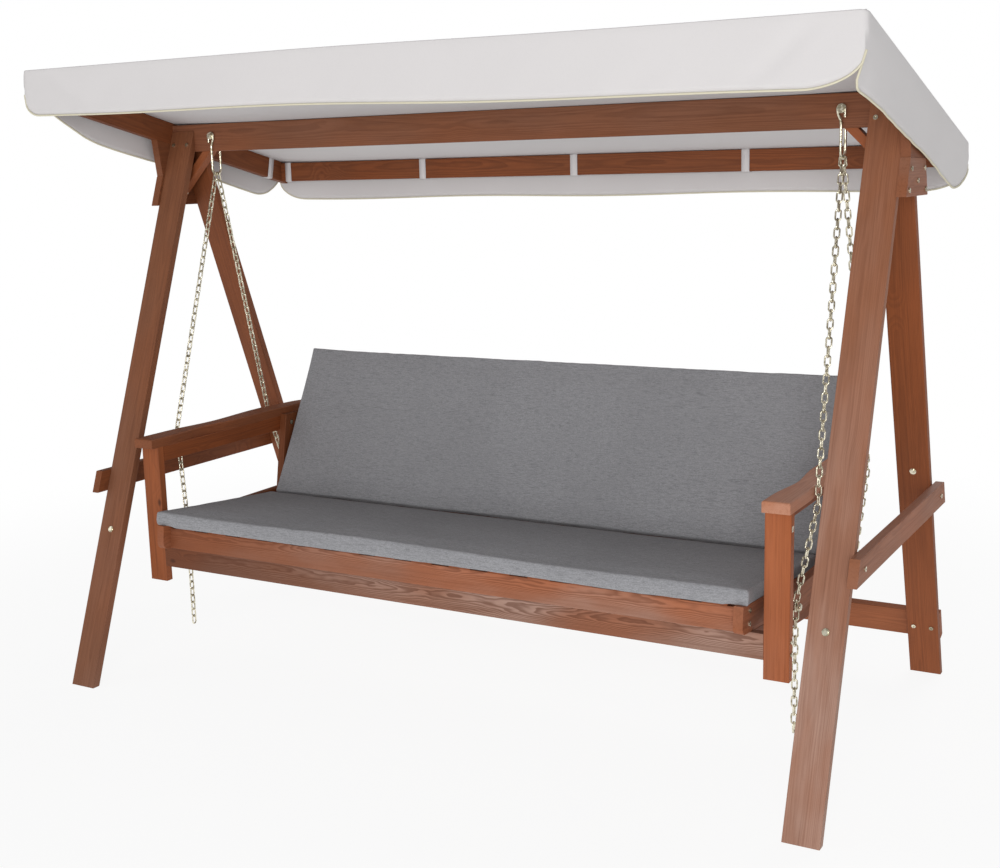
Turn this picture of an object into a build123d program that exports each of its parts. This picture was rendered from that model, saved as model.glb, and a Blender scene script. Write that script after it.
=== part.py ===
from build123d import *
from math import atan2, cos, radians, sin, sqrt, tan
import os

os.makedirs("parts", exist_ok=True)

# Frame of the model: X across the swing, Y from front to back, Z up from the ground.
# The middle of the ridge beam stands over the origin.

# Timber and clearances
board_thickness = 26
wood_round = 2
long_edge = 120
soft_gap = 0.3
slide_gap = 0.3
screw_play = 0.2
pin_play = 0.05

# A-frame legs and ridge beam
leg_width = 95
leg_lean = 20.04
leg_inner_side = 1145
leg_tip_drop = 22
beam_thickness = 34
beam_height = 90
beam_underside = 1697

# Boards on the outer sides of the A-frames
brace_bottom = 600
brace_height = 68
brace_overhang = 40
gusset_bottom = 1520
gusset_height = 98
gusset_overhang = 8
apex_block_narrow = 80
apex_block_wide = 97

# Rear stretcher
stretcher_bottom = 126
stretcher_width = 95

# Knee struts under the beam
strut_inset = 67
strut_section = 25
strut_depth = 36

# Roof
roof_fall = 12.9
roof_rail_height = 72
roof_rail_reach = 595
roof_cross_height = 68
roof_cross_inset = 9

# Canopy cloth
cloth_thickness = 2
cloth_overhang = 14
front_valance_drop = 152
side_valance_drop = 168
rear_valance_drop = 132
front_corner_round = 70
rear_corner_round = 120

# Loops that tie the canopy to the roof rails
strap_width = 26
strap_thickness = 1.5
strap_inset = 35
cross_strap_shares = (0, 0.5, 1)
side_strap_place = 520

# Screws and bolts
screw_radius = 3
screw_head_radius = 6.5
screw_head_height = 3.5
socket_width = 5
screw_length = 60
leg_screw_length = 36
long_screw_length = 100
short_screw_length = 42
bolt_radius = 4
bolt_head_radius = 7.5
bolt_head_height = 3
nut_share = 1.6
washer_rim = 2
washer_thickness = 2
leg_screw_spread = 29
leg_screw_rise = 23
front_leg_bolt_height = 483
rear_leg_bolt_height = 711
stretcher_screw_spread = 27
barrel_radius = 8
barrel_drop = 45
chain_bolt_head = 17

gusset_screw_shares = (0.16, 0.72)
gusset_middle_screw_share = 0.4
roof_screw_shares = (-0.2, 0.2)
beam_screw_shares = (0.35, 0.75)
front_rail_screw_shares = (0.3, 0.78)
rear_rail_screw_shares = (0.3, 0.7)
back_rail_screw_shares = (0.15, 0.5)
seat_front_screw_shares = (0.22, 0.68)
seat_rear_screw_shares = (0.35, 0.75)

# Stirrups that the chains hang in
hanger_inset = 75
hanger_bolt_rise = 50
hanger_bolt_radius = 6
hanger_bolt_head = 19
hanger_rod_radius = 3.8
hanger_stem_rise = 8
hanger_bend_drop = 56
hook_play = 0.3
hook_end_drop = 22

# Chains
link_wire_radius = 2.3
link_inner_width = 9.8
link_pitch = 24.15
link_play = 0.35
front_chain_turn = (26, -248)
rear_chain_turn = (24, 219)
front_chain_links = (36, 2, 11, 1)
rear_chain_links = (35, 3, 11, 1)
front_chain_foot = -278
rear_chain_foot = 295
rear_chain_pass = 17
tail_links = 14

# Bench: posts, rails and arm boards
post_front = -430
bench_side_gap = 61
post_width = 69
post_bottom = 313
arm_height = 759
arm_thickness = 30
arm_front = -456
arm_rear_overhang = 10
arm_width = 74
arm_rail_height = 50
arm_rail_end = 8
arm_edge_round = 5
side_rail_bottom = 431
side_rail_height = 72
side_rail_rear = 340
front_rail_height = 70
rear_post_lean = 9.9
rear_post_front = 170
rear_post_datum = 600
rear_post_width = 70
rear_post_bottom = 316
rear_post_rise = 7
rear_rail_front = 124
rear_rail_height = 70
back_rail_height = 69
arm_inner_waist = 14
arm_outer_waist = 16
arm_inner_waist_place = -215
arm_outer_waist_place = -130
arm_waist_half = 175
arm_shoulder = 150
arm_tail_inner_share = 0.46
arm_tail_outer_share = 0.14
arm_tail_round_share = 0.26

# Seat that slides on the bench
seat_fall = 5.5
seat_front = -490
seat_top = 518
seat_depth = 592
seat_side_gap = 6
seat_board_height = 75
seat_nose_round = 22
seat_front_rail_inset = 34
slat_thickness = 10
slat_width = 70
slat_count = 15
runner_height = 60

# Backrest hinged to the seat
back_lean = 28.5
back_foot = 153
back_foot_height = 491
back_below = 60
back_above = 500
back_board_depth = 50
back_rail_width = 68

# Cushions
seat_cushion_overhang = 7
back_cushion_gap = 2
cushion_thickness = 43
cushion_crown = 5
seat_cushion_front = 13
seat_cushion_rear = 586
back_cushion_length = 541
back_cushion_thickness = 46
cushion_side_bulge = 3
cushion_draw_in = 7
cushion_end_run = 30
crown_run_share = 0.5
crown_end_share = 0.25

# Butt hinges between seat and backrest
hinge_plate = 2
hinge_barrel_radius = 5
hinge_pin_radius = 2.5
hinge_width = 48
hinge_knuckle_gap = 0.3
hinge_forward = 15
hinge_leaf_height = 40
hinge_slat_shares = (1.5, 5.5)

# Sizes worked out from the ones above
leg_slope = tan(radians(leg_lean))
leg_depth = board_thickness / cos(radians(leg_lean))
beam_half = beam_thickness / 2
foot_reach = beam_half + beam_underside * leg_slope + leg_depth
frame_side = leg_inner_side + leg_width
frame_outside = frame_side + board_thickness
leg_middle = leg_inner_side + leg_width / 2
strut_start = leg_inner_side - strut_inset
leg_screw_height = beam_underside + leg_screw_rise
hanger_place = leg_inner_side - hanger_inset
hanger_bolt_height = beam_underside + hanger_bolt_rise
hanger_stem_top = beam_underside + hanger_stem_rise
hanger_bend_height = beam_underside - hanger_bend_drop
cloth_side = frame_outside + cloth_overhang
cross_strap_places = [(frame_side - strap_inset) * share for share in cross_strap_shares]
brace_middle = brace_bottom + brace_height / 2
gusset_top = gusset_bottom + gusset_height
beam_top = beam_underside + beam_height
leg_tip_height = beam_top - leg_tip_drop
roof_slope = tan(radians(roof_fall))
roof_height = beam_top + beam_half * roof_slope
roof_rail_half = roof_rail_reach / cos(radians(roof_fall))
roof_rail_depth = roof_rail_height / cos(radians(roof_fall))
cross_middle = roof_rail_reach - roof_cross_inset - board_thickness / 2
cloth_lift = soft_gap + strap_thickness + soft_gap
post_back = post_front + board_thickness
post_outer_side = leg_inner_side - bench_side_gap
post_inner_side = post_outer_side - post_width
rail_outside = post_inner_side + board_thickness
seat_slope = tan(radians(seat_fall))
under_seat_front = seat_front - seat_board_height * sin(radians(seat_fall))
under_seat_height = seat_top - seat_board_height * cos(radians(seat_fall))
back_slope = tan(radians(back_lean))
rear_post_slope = tan(radians(rear_post_lean))
rear_post_inner_side = post_inner_side - board_thickness
rear_post_top = arm_height + rear_post_rise
seat_half = rear_post_inner_side - seat_side_gap
seat_inner = seat_half - board_thickness
seat_cushion_half = seat_half + seat_cushion_overhang
back_cushion_half = rear_post_inner_side - back_cushion_gap
slat_spacing = 2 * seat_inner / slat_count
hinge_places = [slat_spacing * share for share in hinge_slat_shares]


def leg_face(height):
    """Distance from the ridge to the outer face of a leg, at a height."""
    return foot_reach - height * leg_slope


def leg_core(height):
    """Distance from the ridge to the middle of a leg's thickness, at a height."""
    return leg_face(height) - leg_depth / 2


def roof_line(depth):
    """Height of the roof rails' top line at a distance from the ridge."""
    return roof_height - depth * roof_slope


def cross_centre(direction):
    """Height of a roof cross rail's middle: its top edge meets the roof line, front or rear."""
    return roof_line(direction * cross_middle + board_thickness / 2) - roof_cross_height / 2


def under_seat(depth):
    """Height of the seat's sloping underside at a distance from the middle."""
    return under_seat_height - (depth - under_seat_front) * seat_slope - slide_gap


def fallen_plane(front, height, fall):
    """A plane across the swing whose second axis runs back and falls by an angle."""
    return Plane(
        origin=(0, front, height),
        x_dir=(1, 0, 0),
        z_dir=(0, sin(radians(fall)), cos(radians(fall))),
    )


roof = fallen_plane(0, roof_height, roof_fall)
seat = fallen_plane(seat_front, seat_top, seat_fall)
back = Plane(
    origin=(0, back_foot, back_foot_height),
    x_dir=(1, 0, 0),
    z_dir=(0, -cos(radians(back_lean)), sin(radians(back_lean))),
)
rear_leg_face = Plane(
    origin=(0, foot_reach, 0),
    x_dir=(-1, 0, 0),
    z_dir=(0, cos(radians(leg_lean)), sin(radians(leg_lean))),
)
hinge_line = back.from_local_coords((0, -back_below - hinge_plate / 2, hinge_forward))


def keep(name, part):
    """Label a finished piece and write it out."""
    part.label = name
    export_step(part, f"parts/{name}.step")


def keep_pair(name, part):
    """Keep a right-hand piece and its mirror image on the left."""
    keep(f"{name}_right", part)
    keep(f"{name}_left", mirror(part, about=Plane.YZ))


def ease(piece):
    """Round the long edges of a board."""
    fillet(piece.edges().filter_by(lambda edge: edge.length > long_edge), wood_round)


def drill(places, toward, radius, depth):
    """Cut a round hole inward from each place on a surface that faces one way."""
    inward = -Vector(*toward)
    for place in places:
        with Locations(Plane(origin=place, z_dir=inward)):
            Cylinder(radius, depth, align=(Align.CENTER, Align.CENTER, Align.MIN), mode=Mode.SUBTRACT)


def drive_screws(places, toward, length):
    """Pan-head screws with a hexagon socket, heads on a surface that faces one way."""
    outward = Vector(*toward)
    for place in places:
        head = Plane(origin=place, z_dir=outward)
        with Locations(head):
            Cylinder(screw_head_radius, screw_head_height, align=(Align.CENTER, Align.CENTER, Align.MIN))
        with Locations(Plane(origin=place, z_dir=-outward)):
            Cylinder(screw_radius, length, align=(Align.CENTER, Align.CENTER, Align.MIN))
        with BuildSketch(head.offset(screw_head_height)) as socket:
            RegularPolygon(socket_width / 2, 6, major_radius=False)
        extrude(socket.sketch, amount=-screw_head_height / 2, mode=Mode.SUBTRACT)


def drive_bolts(places, toward, grip, radius, head_radius):
    """Bolts right through, with a round head, a washer under it and a nut behind."""
    outward = Vector(*toward)
    for place in places:
        surface = Plane(origin=place, z_dir=outward)
        behind = Plane(origin=Vector(*place) - outward * grip, z_dir=-outward)
        with Locations(surface.offset(washer_thickness)):
            Cylinder(head_radius, bolt_head_height, align=(Align.CENTER, Align.CENTER, Align.MIN))
        with Locations(surface.offset(washer_thickness)):
            Cylinder(
                radius,
                washer_thickness + grip + nut_share * radius + washer_thickness,
                align=(Align.CENTER, Align.CENTER, Align.MAX),
            )
        with BuildSketch(surface) as washer:
            Circle(head_radius + washer_rim)
            Circle(radius + pin_play, mode=Mode.SUBTRACT)
        extrude(washer.sketch, amount=washer_thickness)
        with BuildSketch(behind) as nut:
            RegularPolygon(nut_share * radius, 6, major_radius=False)
            Circle(radius + pin_play, mode=Mode.SUBTRACT)
        extrude(nut.sketch, amount=nut_share * radius)


# Fastener places, on the right-hand side where both sides are alike
wood_hole = screw_radius + screw_play
gusset_screw_rows = [gusset_bottom + gusset_height * share for share in gusset_screw_shares]
side_screw_places = [(frame_outside, 0, gusset_bottom + gusset_height * gusset_middle_screw_share)]
for screw_height in [*gusset_screw_rows, brace_middle]:
    for direction in (-1, 1):
        side_screw_places.append((frame_outside, direction * leg_core(screw_height), screw_height))
for direction in (-1, 1):
    for share in roof_screw_shares:
        height = cross_centre(direction) + roof_cross_height * share
        side_screw_places.append((frame_outside, direction * cross_middle, height))
for share in beam_screw_shares:
    side_screw_places.append((frame_outside, 0, beam_underside + beam_height * share))


def leg_top_screw_places(direction):
    """Two screws through the top of a leg into the beam, on the leg's outer face."""
    depth = direction * leg_face(leg_screw_height)
    return [(leg_middle + shift, depth, leg_screw_height) for shift in (-leg_screw_spread, leg_screw_spread)]


stretcher_screw_height = stretcher_bottom + stretcher_width * cos(radians(leg_lean)) / 2
stretcher_screw_places = [
    (leg_middle + shift, leg_face(stretcher_screw_height) - leg_depth, stretcher_screw_height)
    for shift in (-stretcher_screw_spread, stretcher_screw_spread)
]
hanger_bolt_place = (hanger_place, -beam_half - 2 * hanger_rod_radius - hook_play, hanger_bolt_height)
front_leg_outward = (0, -cos(radians(leg_lean)), sin(radians(leg_lean)))
front_leg_bolt_places = [(leg_middle, -leg_face(front_leg_bolt_height), front_leg_bolt_height)]
rear_leg_bolt_places = [(leg_middle, leg_face(rear_leg_bolt_height) - leg_depth, rear_leg_bolt_height)]
leg_grip = board_thickness


# Legs: sloping planks, cut flat at the foot and plumb against the beam
with BuildPart() as leg_front:
    with BuildSketch(Plane.YZ.offset(leg_inner_side)):
        Polygon(
            (-foot_reach, 0),
            (leg_depth - foot_reach, 0),
            (-beam_half, beam_underside),
            (-beam_half, leg_tip_height),
            (-leg_face(leg_tip_height), leg_tip_height),
            align=None,
        )
    extrude(amount=leg_width)
    ease(leg_front)
    drill(side_screw_places, (1, 0, 0), wood_hole, screw_length + board_thickness)
    drill(leg_top_screw_places(-1), front_leg_outward, wood_hole, screw_length)
    drill(front_leg_bolt_places, front_leg_outward, bolt_radius + screw_play, 2 * leg_depth)
keep_pair("leg_front", leg_front.part)

with BuildPart() as leg_rear:
    with BuildSketch(Plane.YZ.offset(leg_inner_side)):
        Polygon(
            (foot_reach, 0),
            (foot_reach - leg_depth, 0),
            (beam_half, beam_underside),
            (beam_half, leg_tip_height),
            (leg_face(leg_tip_height), leg_tip_height),
            align=None,
        )
    extrude(amount=leg_width)
    ease(leg_rear)
    drill(side_screw_places, (1, 0, 0), wood_hole, screw_length + board_thickness)
    drill(leg_top_screw_places(1), rear_leg_face.z_dir, wood_hole, screw_length)
    drill(stretcher_screw_places, -rear_leg_face.z_dir, wood_hole, screw_length)
    drill(rear_leg_bolt_places, -rear_leg_face.z_dir, bolt_radius + screw_play, 2 * leg_depth)
keep_pair("leg_rear", leg_rear.part)

# Ridge beam, with the holes for the leg screws and the two hanger bolts
with BuildPart() as ridge_beam:
    with BuildSketch(Plane.YZ):
        with Locations((0, beam_underside + beam_height / 2)):
            Rectangle(beam_thickness, beam_height)
    extrude(amount=frame_side, both=True)
    ease(ridge_beam)
    drill(leg_top_screw_places(-1), front_leg_outward, wood_hole, screw_length)
    drill(leg_top_screw_places(1), rear_leg_face.z_dir, wood_hole, screw_length)
    drill([hanger_bolt_place], (0, -1, 0), hanger_bolt_radius + screw_play, foot_reach)
    drill(side_screw_places, (1, 0, 0), wood_hole, screw_length + board_thickness)
    split(bisect_by=Plane.YZ, keep=Keep.TOP)
    mirror(about=Plane.YZ)
keep("ridge_beam", ridge_beam.part)

# Rear stretcher on the back faces of the rear legs
with BuildPart() as rear_stretcher:
    with BuildSketch(rear_leg_face):
        with Locations((0, stretcher_bottom / cos(radians(leg_lean)) + stretcher_width / 2)):
            Rectangle(2 * frame_side, stretcher_width)
    extrude(amount=board_thickness)
    ease(rear_stretcher)
    drill(stretcher_screw_places, -rear_leg_face.z_dir, wood_hole, screw_length)
    split(bisect_by=Plane.YZ, keep=Keep.TOP)
    mirror(about=Plane.YZ)
keep("rear_stretcher", rear_stretcher.part)

# Side braces, gusset plates and the blocks above them, screwed on outside the legs
brace_top = brace_bottom + brace_height
with BuildPart() as side_brace:
    with BuildSketch(Plane.YZ.offset(frame_side)):
        Polygon(
            (-leg_face(brace_bottom) - brace_overhang, brace_bottom),
            (leg_face(brace_bottom) + brace_overhang, brace_bottom),
            (leg_face(brace_top) + brace_overhang, brace_top),
            (-leg_face(brace_top) - brace_overhang, brace_top),
            align=None,
        )
    extrude(amount=board_thickness)
    ease(side_brace)
    drill(side_screw_places, (1, 0, 0), wood_hole, screw_length + board_thickness)
keep_pair("side_brace", side_brace.part)

with BuildPart() as gusset:
    with BuildSketch(Plane.YZ.offset(frame_side)):
        Polygon(
            (-leg_face(gusset_bottom) - gusset_overhang, gusset_bottom),
            (leg_face(gusset_bottom) + gusset_overhang, gusset_bottom),
            (leg_face(gusset_top) + gusset_overhang, gusset_top),
            (-leg_face(gusset_top) - gusset_overhang, gusset_top),
            align=None,
        )
    extrude(amount=board_thickness)
    ease(gusset)
    drill(side_screw_places, (1, 0, 0), wood_hole, screw_length + board_thickness)
keep_pair("gusset", gusset.part)

with BuildPart() as apex_block:
    with BuildSketch(Plane.YZ.offset(frame_side)):
        Polygon(
            (-apex_block_narrow, gusset_top),
            (apex_block_narrow, gusset_top),
            (apex_block_wide, roof_line(apex_block_wide) - roof_rail_depth),
            (-apex_block_wide, roof_line(-apex_block_wide) - roof_rail_depth),
            align=None,
        )
    extrude(amount=board_thickness)
    drill(side_screw_places, (1, 0, 0), wood_hole, screw_length + board_thickness)
keep_pair("apex_block", apex_block.part)

# Knee struts from the beam down to the gusset plates
strut_slant = strut_section * sqrt(2)
strut_run = frame_side - strut_start
with BuildPart() as knee_strut:
    with BuildSketch(Plane.XZ):
        Polygon(
            (strut_start, beam_underside),
            (strut_start + strut_slant, beam_underside),
            (frame_side, beam_underside - strut_run + strut_slant),
            (frame_side, beam_underside - strut_run),
            align=None,
        )
    extrude(amount=strut_depth / 2, both=True)
    ease(knee_strut)
    drill(side_screw_places, (1, 0, 0), wood_hole, screw_length + board_thickness)
keep_pair("knee_strut", knee_strut.part)

# Roof frame: two sloping side rails and two cross rails between them
with BuildPart() as roof_side_rail:
    with BuildSketch(Plane.YZ.offset(frame_side)):
        Polygon(
            (-roof_rail_reach, roof_line(-roof_rail_reach)),
            (roof_rail_reach, roof_line(roof_rail_reach)),
            (roof_rail_reach, roof_line(roof_rail_reach) - roof_rail_depth),
            (-roof_rail_reach, roof_line(-roof_rail_reach) - roof_rail_depth),
            align=None,
        )
    extrude(amount=board_thickness)
    ease(roof_side_rail)
    drill(side_screw_places, (1, 0, 0), wood_hole, screw_length + board_thickness)
keep_pair("roof_side_rail", roof_side_rail.part)

for rail_name, direction in (("roof_front_rail", -1), ("roof_rear_rail", 1)):
    with BuildPart() as roof_cross_rail:
        with BuildSketch(Plane.YZ):
            with Locations((direction * cross_middle, cross_centre(direction))):
                Rectangle(board_thickness, roof_cross_height)
        extrude(amount=frame_side, both=True)
        ease(roof_cross_rail)
        drill(side_screw_places, (1, 0, 0), wood_hole, screw_length + board_thickness)
        split(bisect_by=Plane.YZ, keep=Keep.TOP)
        mirror(about=Plane.YZ)
    keep(rail_name, roof_cross_rail.part)

# Canopy: one sheet over the rails with a valance along each side, slit at the rounded corners
cloth_reach = roof_rail_half + cloth_overhang
cloth_front = roof.from_local_coords((0, -cloth_reach, cloth_lift))
cloth_rear = roof.from_local_coords((0, cloth_reach, cloth_lift))
with BuildPart() as canopy:
    with BuildSketch(roof.offset(cloth_lift)):
        Rectangle(2 * cloth_side, 2 * cloth_reach)
    extrude(amount=cloth_thickness)
    for edge, drop, corner_round, inward in (
        (cloth_front, front_valance_drop, front_corner_round, -cloth_thickness),
        (cloth_rear, rear_valance_drop, front_corner_round, cloth_thickness),
    ):
        with BuildSketch(Plane.XZ.offset(-edge.Y)) as cross_valance:
            with Locations((0, edge.Z + cloth_thickness)):
                Rectangle(2 * cloth_side, drop, align=(Align.CENTER, Align.MAX))
            fillet(cross_valance.vertices().group_by(Axis.Y)[0], corner_round)
        extrude(amount=inward)
    with BuildSketch(Plane.YZ.offset(cloth_side - cloth_thickness)) as side_valance:
        Polygon(
            (cloth_front.Y, cloth_front.Z),
            (cloth_rear.Y, cloth_rear.Z),
            (cloth_rear.Y, cloth_rear.Z - side_valance_drop),
            (cloth_front.Y, cloth_front.Z - side_valance_drop),
            align=None,
        )
        lowest = side_valance.vertices().sort_by(Axis.Y)[0]
        fillet(lowest, rear_corner_round)
        hem_front = side_valance.vertices().group_by(Axis.X)[0].sort_by(Axis.Y)[0]
        fillet(hem_front, front_corner_round)
    extrude(amount=cloth_thickness)
    split(bisect_by=Plane.YZ, keep=Keep.TOP)
    mirror(about=Plane.YZ)
keep("canopy", canopy.part)

# Cloth loops sewn under the canopy, each going round a roof rail
strap_gap = soft_gap / 2
strap_growth = 2 * (strap_gap + strap_thickness)


def strap_loop(across, rail_height):
    """One loop of webbing round a board, centred on a plane across it."""
    with BuildSketch(across) as loop:
        Rectangle(board_thickness + strap_growth, rail_height + strap_growth)
        Rectangle(board_thickness + 2 * strap_gap, rail_height + 2 * strap_gap, mode=Mode.SUBTRACT)
    extrude(loop.sketch, amount=strap_width / 2, both=True)


with BuildPart() as canopy_straps:
    for direction in (-1, 1):
        for place in cross_strap_places:
            middle = (place, direction * cross_middle, cross_centre(direction))
            strap_loop(Plane(origin=middle, x_dir=(0, 1, 0), z_dir=(1, 0, 0)), roof_cross_height)
        beside = (frame_side + board_thickness / 2, direction * side_strap_place, -roof_rail_height / 2)
        middle = roof.from_local_coords(beside)
        strap_loop(Plane(origin=middle, x_dir=(1, 0, 0), z_dir=roof.y_dir), roof_rail_height)
    split(bisect_by=Plane.YZ, keep=Keep.TOP)
    mirror(about=Plane.YZ)
keep("canopy_straps", canopy_straps.part)

# Fasteners of the frame, each group a set of separate solids
with BuildPart() as leg_screws:
    drive_screws(leg_top_screw_places(-1), front_leg_outward, leg_screw_length)
    drive_screws(leg_top_screw_places(1), rear_leg_face.z_dir, leg_screw_length)
    drive_screws(stretcher_screw_places, -rear_leg_face.z_dir, short_screw_length)
    mirror(about=Plane.YZ)
keep("leg_screws", leg_screws.part)

with BuildPart() as side_screws:
    drive_screws(side_screw_places, (1, 0, 0), screw_length)
    mirror(about=Plane.YZ)
keep("side_screws", side_screws.part)

with BuildPart() as leg_bolts:
    drive_bolts(front_leg_bolt_places, front_leg_outward, leg_grip, bolt_radius, bolt_head_radius)
    drive_bolts(rear_leg_bolt_places, -rear_leg_face.z_dir, leg_grip, bolt_radius, bolt_head_radius)
    mirror(about=Plane.YZ)
keep("leg_bolts", leg_bolts.part)

hanger_grip = beam_thickness + 2 * (2 * hanger_rod_radius + hook_play)
with BuildPart() as hanger_bolts:
    drive_bolts([hanger_bolt_place], (0, -1, 0), hanger_grip, hanger_bolt_radius, hanger_bolt_head / 2)
    mirror(about=Plane.YZ)
keep("hanger_bolts", hanger_bolts.part)

# Stirrups: one bent rod, hooked over the bolt on both faces of the beam
rod_side = beam_half + hanger_rod_radius + hook_play / 2
hook_radius = hanger_bolt_radius + hanger_rod_radius + hook_play
hook_fall = hanger_bolt_height - hanger_stem_top
half_fall = hook_fall / 2
swerve_radius = (hook_fall**2 + hook_radius**2) / (4 * hook_radius)
swerve_half_angle = atan2(half_fall, swerve_radius) / 2


def stirrup_half(depth):
    """Centre line from the hook's free end over the bolt and down to the bend, on one face."""
    inner, outer = hanger_place - hook_radius, hanger_place + hook_radius
    free_end = (outer, depth, hanger_bolt_height - hook_end_drop)
    hook_start = (outer, depth, hanger_bolt_height)
    hook_top = (hanger_place, depth, hanger_bolt_height + hook_radius)
    hook_finish = (inner, depth, hanger_bolt_height)
    middle = (hanger_place - hook_radius / 2, depth, hanger_bolt_height - half_fall)
    reach = swerve_radius * (1 - cos(swerve_half_angle))
    drop = swerve_radius * sin(swerve_half_angle)
    upper = (inner + reach, depth, hanger_bolt_height - drop)
    lower = (hanger_place - reach, depth, hanger_stem_top + drop)
    stem_top = (hanger_place, depth, hanger_stem_top)
    return [
        Line(free_end, hook_start),
        ThreePointArc(hook_start, hook_top, hook_finish),
        ThreePointArc(hook_finish, upper, middle),
        ThreePointArc(middle, lower, stem_top),
        Line(stem_top, (hanger_place, depth, hanger_bend_height)),
    ]


with BuildPart() as hanger:
    with BuildLine() as stirrup:
        stirrup_half(-rod_side)
        ThreePointArc(
            (hanger_place, -rod_side, hanger_bend_height),
            (hanger_place, 0, hanger_bend_height - rod_side),
            (hanger_place, rod_side, hanger_bend_height),
        )
        stirrup_half(rod_side)
    with BuildSketch(
        Plane(
            origin=(hanger_place + hook_radius, -rod_side, hanger_bolt_height - hook_end_drop),
            z_dir=(0, 0, 1),
        )
    ):
        Circle(hanger_rod_radius)
    sweep()
keep_pair("hanger", hanger.part)

# Chains: each link is a bent wire, every second one turned a quarter round
link_inner_length = link_pitch + link_play
link_bend = link_inner_width / 2 + link_wire_radius
link_straight = link_inner_length / 2 - link_inner_width / 2
with BuildPart() as chain_link:
    with BuildLine() as link_wire:
        Line((link_bend, 0, -link_straight), (link_bend, 0, link_straight))
        ThreePointArc(
            (link_bend, 0, link_straight), (0, 0, link_straight + link_bend), (-link_bend, 0, link_straight)
        )
        Line((-link_bend, 0, link_straight), (-link_bend, 0, -link_straight))
        ThreePointArc(
            (-link_bend, 0, -link_straight),
            (0, 0, -link_straight - link_bend),
            (link_bend, 0, -link_straight),
        )
    with BuildSketch(Plane(origin=(link_bend, 0, 0), z_dir=(0, 0, 1))):
        Circle(link_wire_radius)
    sweep()


link_half_width = link_inner_width / 2 + 2 * link_wire_radius
chain_foot_x = rail_outside + link_half_width + link_play


def chain_corners(turn, foot, counts, passing):
    """Ends of a chain's straight runs, each run a whole number of links long."""
    rod_top = rod_side - hanger_rod_radius
    first, second, third, last = (count * link_pitch for count in counts)
    start = Vector(hanger_place, 0, hanger_bend_height)
    drop = sqrt((first + rod_top) ** 2 - turn[0] ** 2 - turn[1] ** 2)
    arm_top = start + Vector(*turn, -drop)
    top = start + (arm_top - start).normalized() * rod_top
    arm_bottom = arm_top + Vector(0, passing, -sqrt(second**2 - passing**2))
    run = (chain_foot_x - arm_bottom.X, foot - arm_bottom.Y)
    foot_top = arm_bottom + Vector(*run, -sqrt(third**2 - run[0] ** 2 - run[1] ** 2))
    return [top, arm_top, arm_bottom, foot_top, foot_top - Vector(0, 0, last)]


def link_planes(corners, counts, first_turn=0):
    """Where each link lies: its middle, the way along the chain and its quarter turn."""
    places = []
    for start, finish, count in zip(corners, corners[1:], counts):
        along = (finish - start).normalized()
        for number in range(count):
            middle = start + along * (2 * number + 1) * link_pitch / 2
            across = Vector(1, 0, 0) - along * along.X
            if (len(places) + first_turn) % 2:
                across = along.cross(across)
            places.append(Plane(origin=middle, x_dir=across, z_dir=along))
    return places


front_corners = chain_corners(front_chain_turn, front_chain_foot, front_chain_links, 0)
rear_corners = chain_corners(rear_chain_turn, rear_chain_foot, rear_chain_links, rear_chain_pass)
tail_top = front_corners[-1]
tail_bottom = tail_top - Vector(0, 0, tail_links * link_pitch)
with BuildPart() as chain_front:
    with Locations(*link_planes(front_corners, front_chain_links)):
        add(chain_link.part)
    with Locations(*link_planes([tail_top, tail_bottom], [tail_links], sum(front_chain_links))):
        add(chain_link.part)
keep_pair("chain_front", chain_front.part)

with BuildPart() as chain_rear:
    with Locations(*link_planes(rear_corners, rear_chain_links)):
        add(chain_link.part)
keep_pair("chain_rear", chain_rear.part)

# Fastener places of the bench, right-hand side
chain_bolt_rise = 2 * link_wire_radius + bolt_radius + 2 * link_play
chain_bolt_head_x = chain_foot_x + link_half_width + link_play
chain_bolt_places = [
    (chain_bolt_head_x, corners[-1].Y, corners[-1].Z + chain_bolt_rise)
    for corners in (front_corners, rear_corners)
]
chain_bolt_grip = chain_bolt_head_x - post_inner_side
front_rail_top = under_seat(post_back)
front_rail_bottom = front_rail_top - front_rail_height
post_middle = post_front + board_thickness / 2
post_screw_places = [
    (post_outer_side, post_middle, front_rail_bottom + front_rail_height * share)
    for share in front_rail_screw_shares
]
rear_rail_top = under_seat(rear_rail_front + board_thickness)
rear_rail_middle = rear_rail_front + board_thickness / 2
rear_post_screw_places = [
    (post_inner_side, rear_rail_middle, rear_rail_top - rear_rail_height * share)
    for share in rear_rail_screw_shares
]


def rear_post_face(height):
    """Distance from the middle to the leaning front edge of a rear post."""
    return rear_post_front + (height - rear_post_datum) * rear_post_slope


rear_post_depth = rear_post_width / cos(radians(rear_post_lean))
bolt_sink = washer_thickness + bolt_head_height
rear_post_bolt_places = [
    (rear_post_inner_side + bolt_sink, rear_post_face(height) + rear_post_depth / 2, height)
    for height in (side_rail_bottom + side_rail_height / 2, arm_height - arm_rail_height / 2)
]
stile_back_at_arm = (
    back_foot
    + (arm_height - back_foot_height) * back_slope
    + (back_board_depth + soft_gap) / cos(radians(back_lean))
)
arm_rail_rear = stile_back_at_arm + board_thickness + arm_rail_end
arm_rear = arm_rail_rear + arm_rear_overhang
back_rail_screw_places = [
    (rail_outside, stile_back_at_arm + board_thickness / 2, arm_height - back_rail_height * share)
    for share in back_rail_screw_shares
]
barrel_place = (post_outer_side, post_middle, arm_height - barrel_drop)

# Bench posts, rails and arm boards
with BuildPart() as front_post:
    with BuildSketch(Plane.XY.offset(post_bottom)):
        with Locations((post_inner_side + post_width / 2, post_middle)):
            Rectangle(post_width, board_thickness)
    extrude(amount=arm_height - post_bottom)
    ease(front_post)
    drill(post_screw_places, (1, 0, 0), wood_hole, long_screw_length)
    drill([barrel_place], (1, 0, 0), barrel_radius + screw_play, post_width - board_thickness)
keep_pair("front_post", front_post.part)

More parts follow.
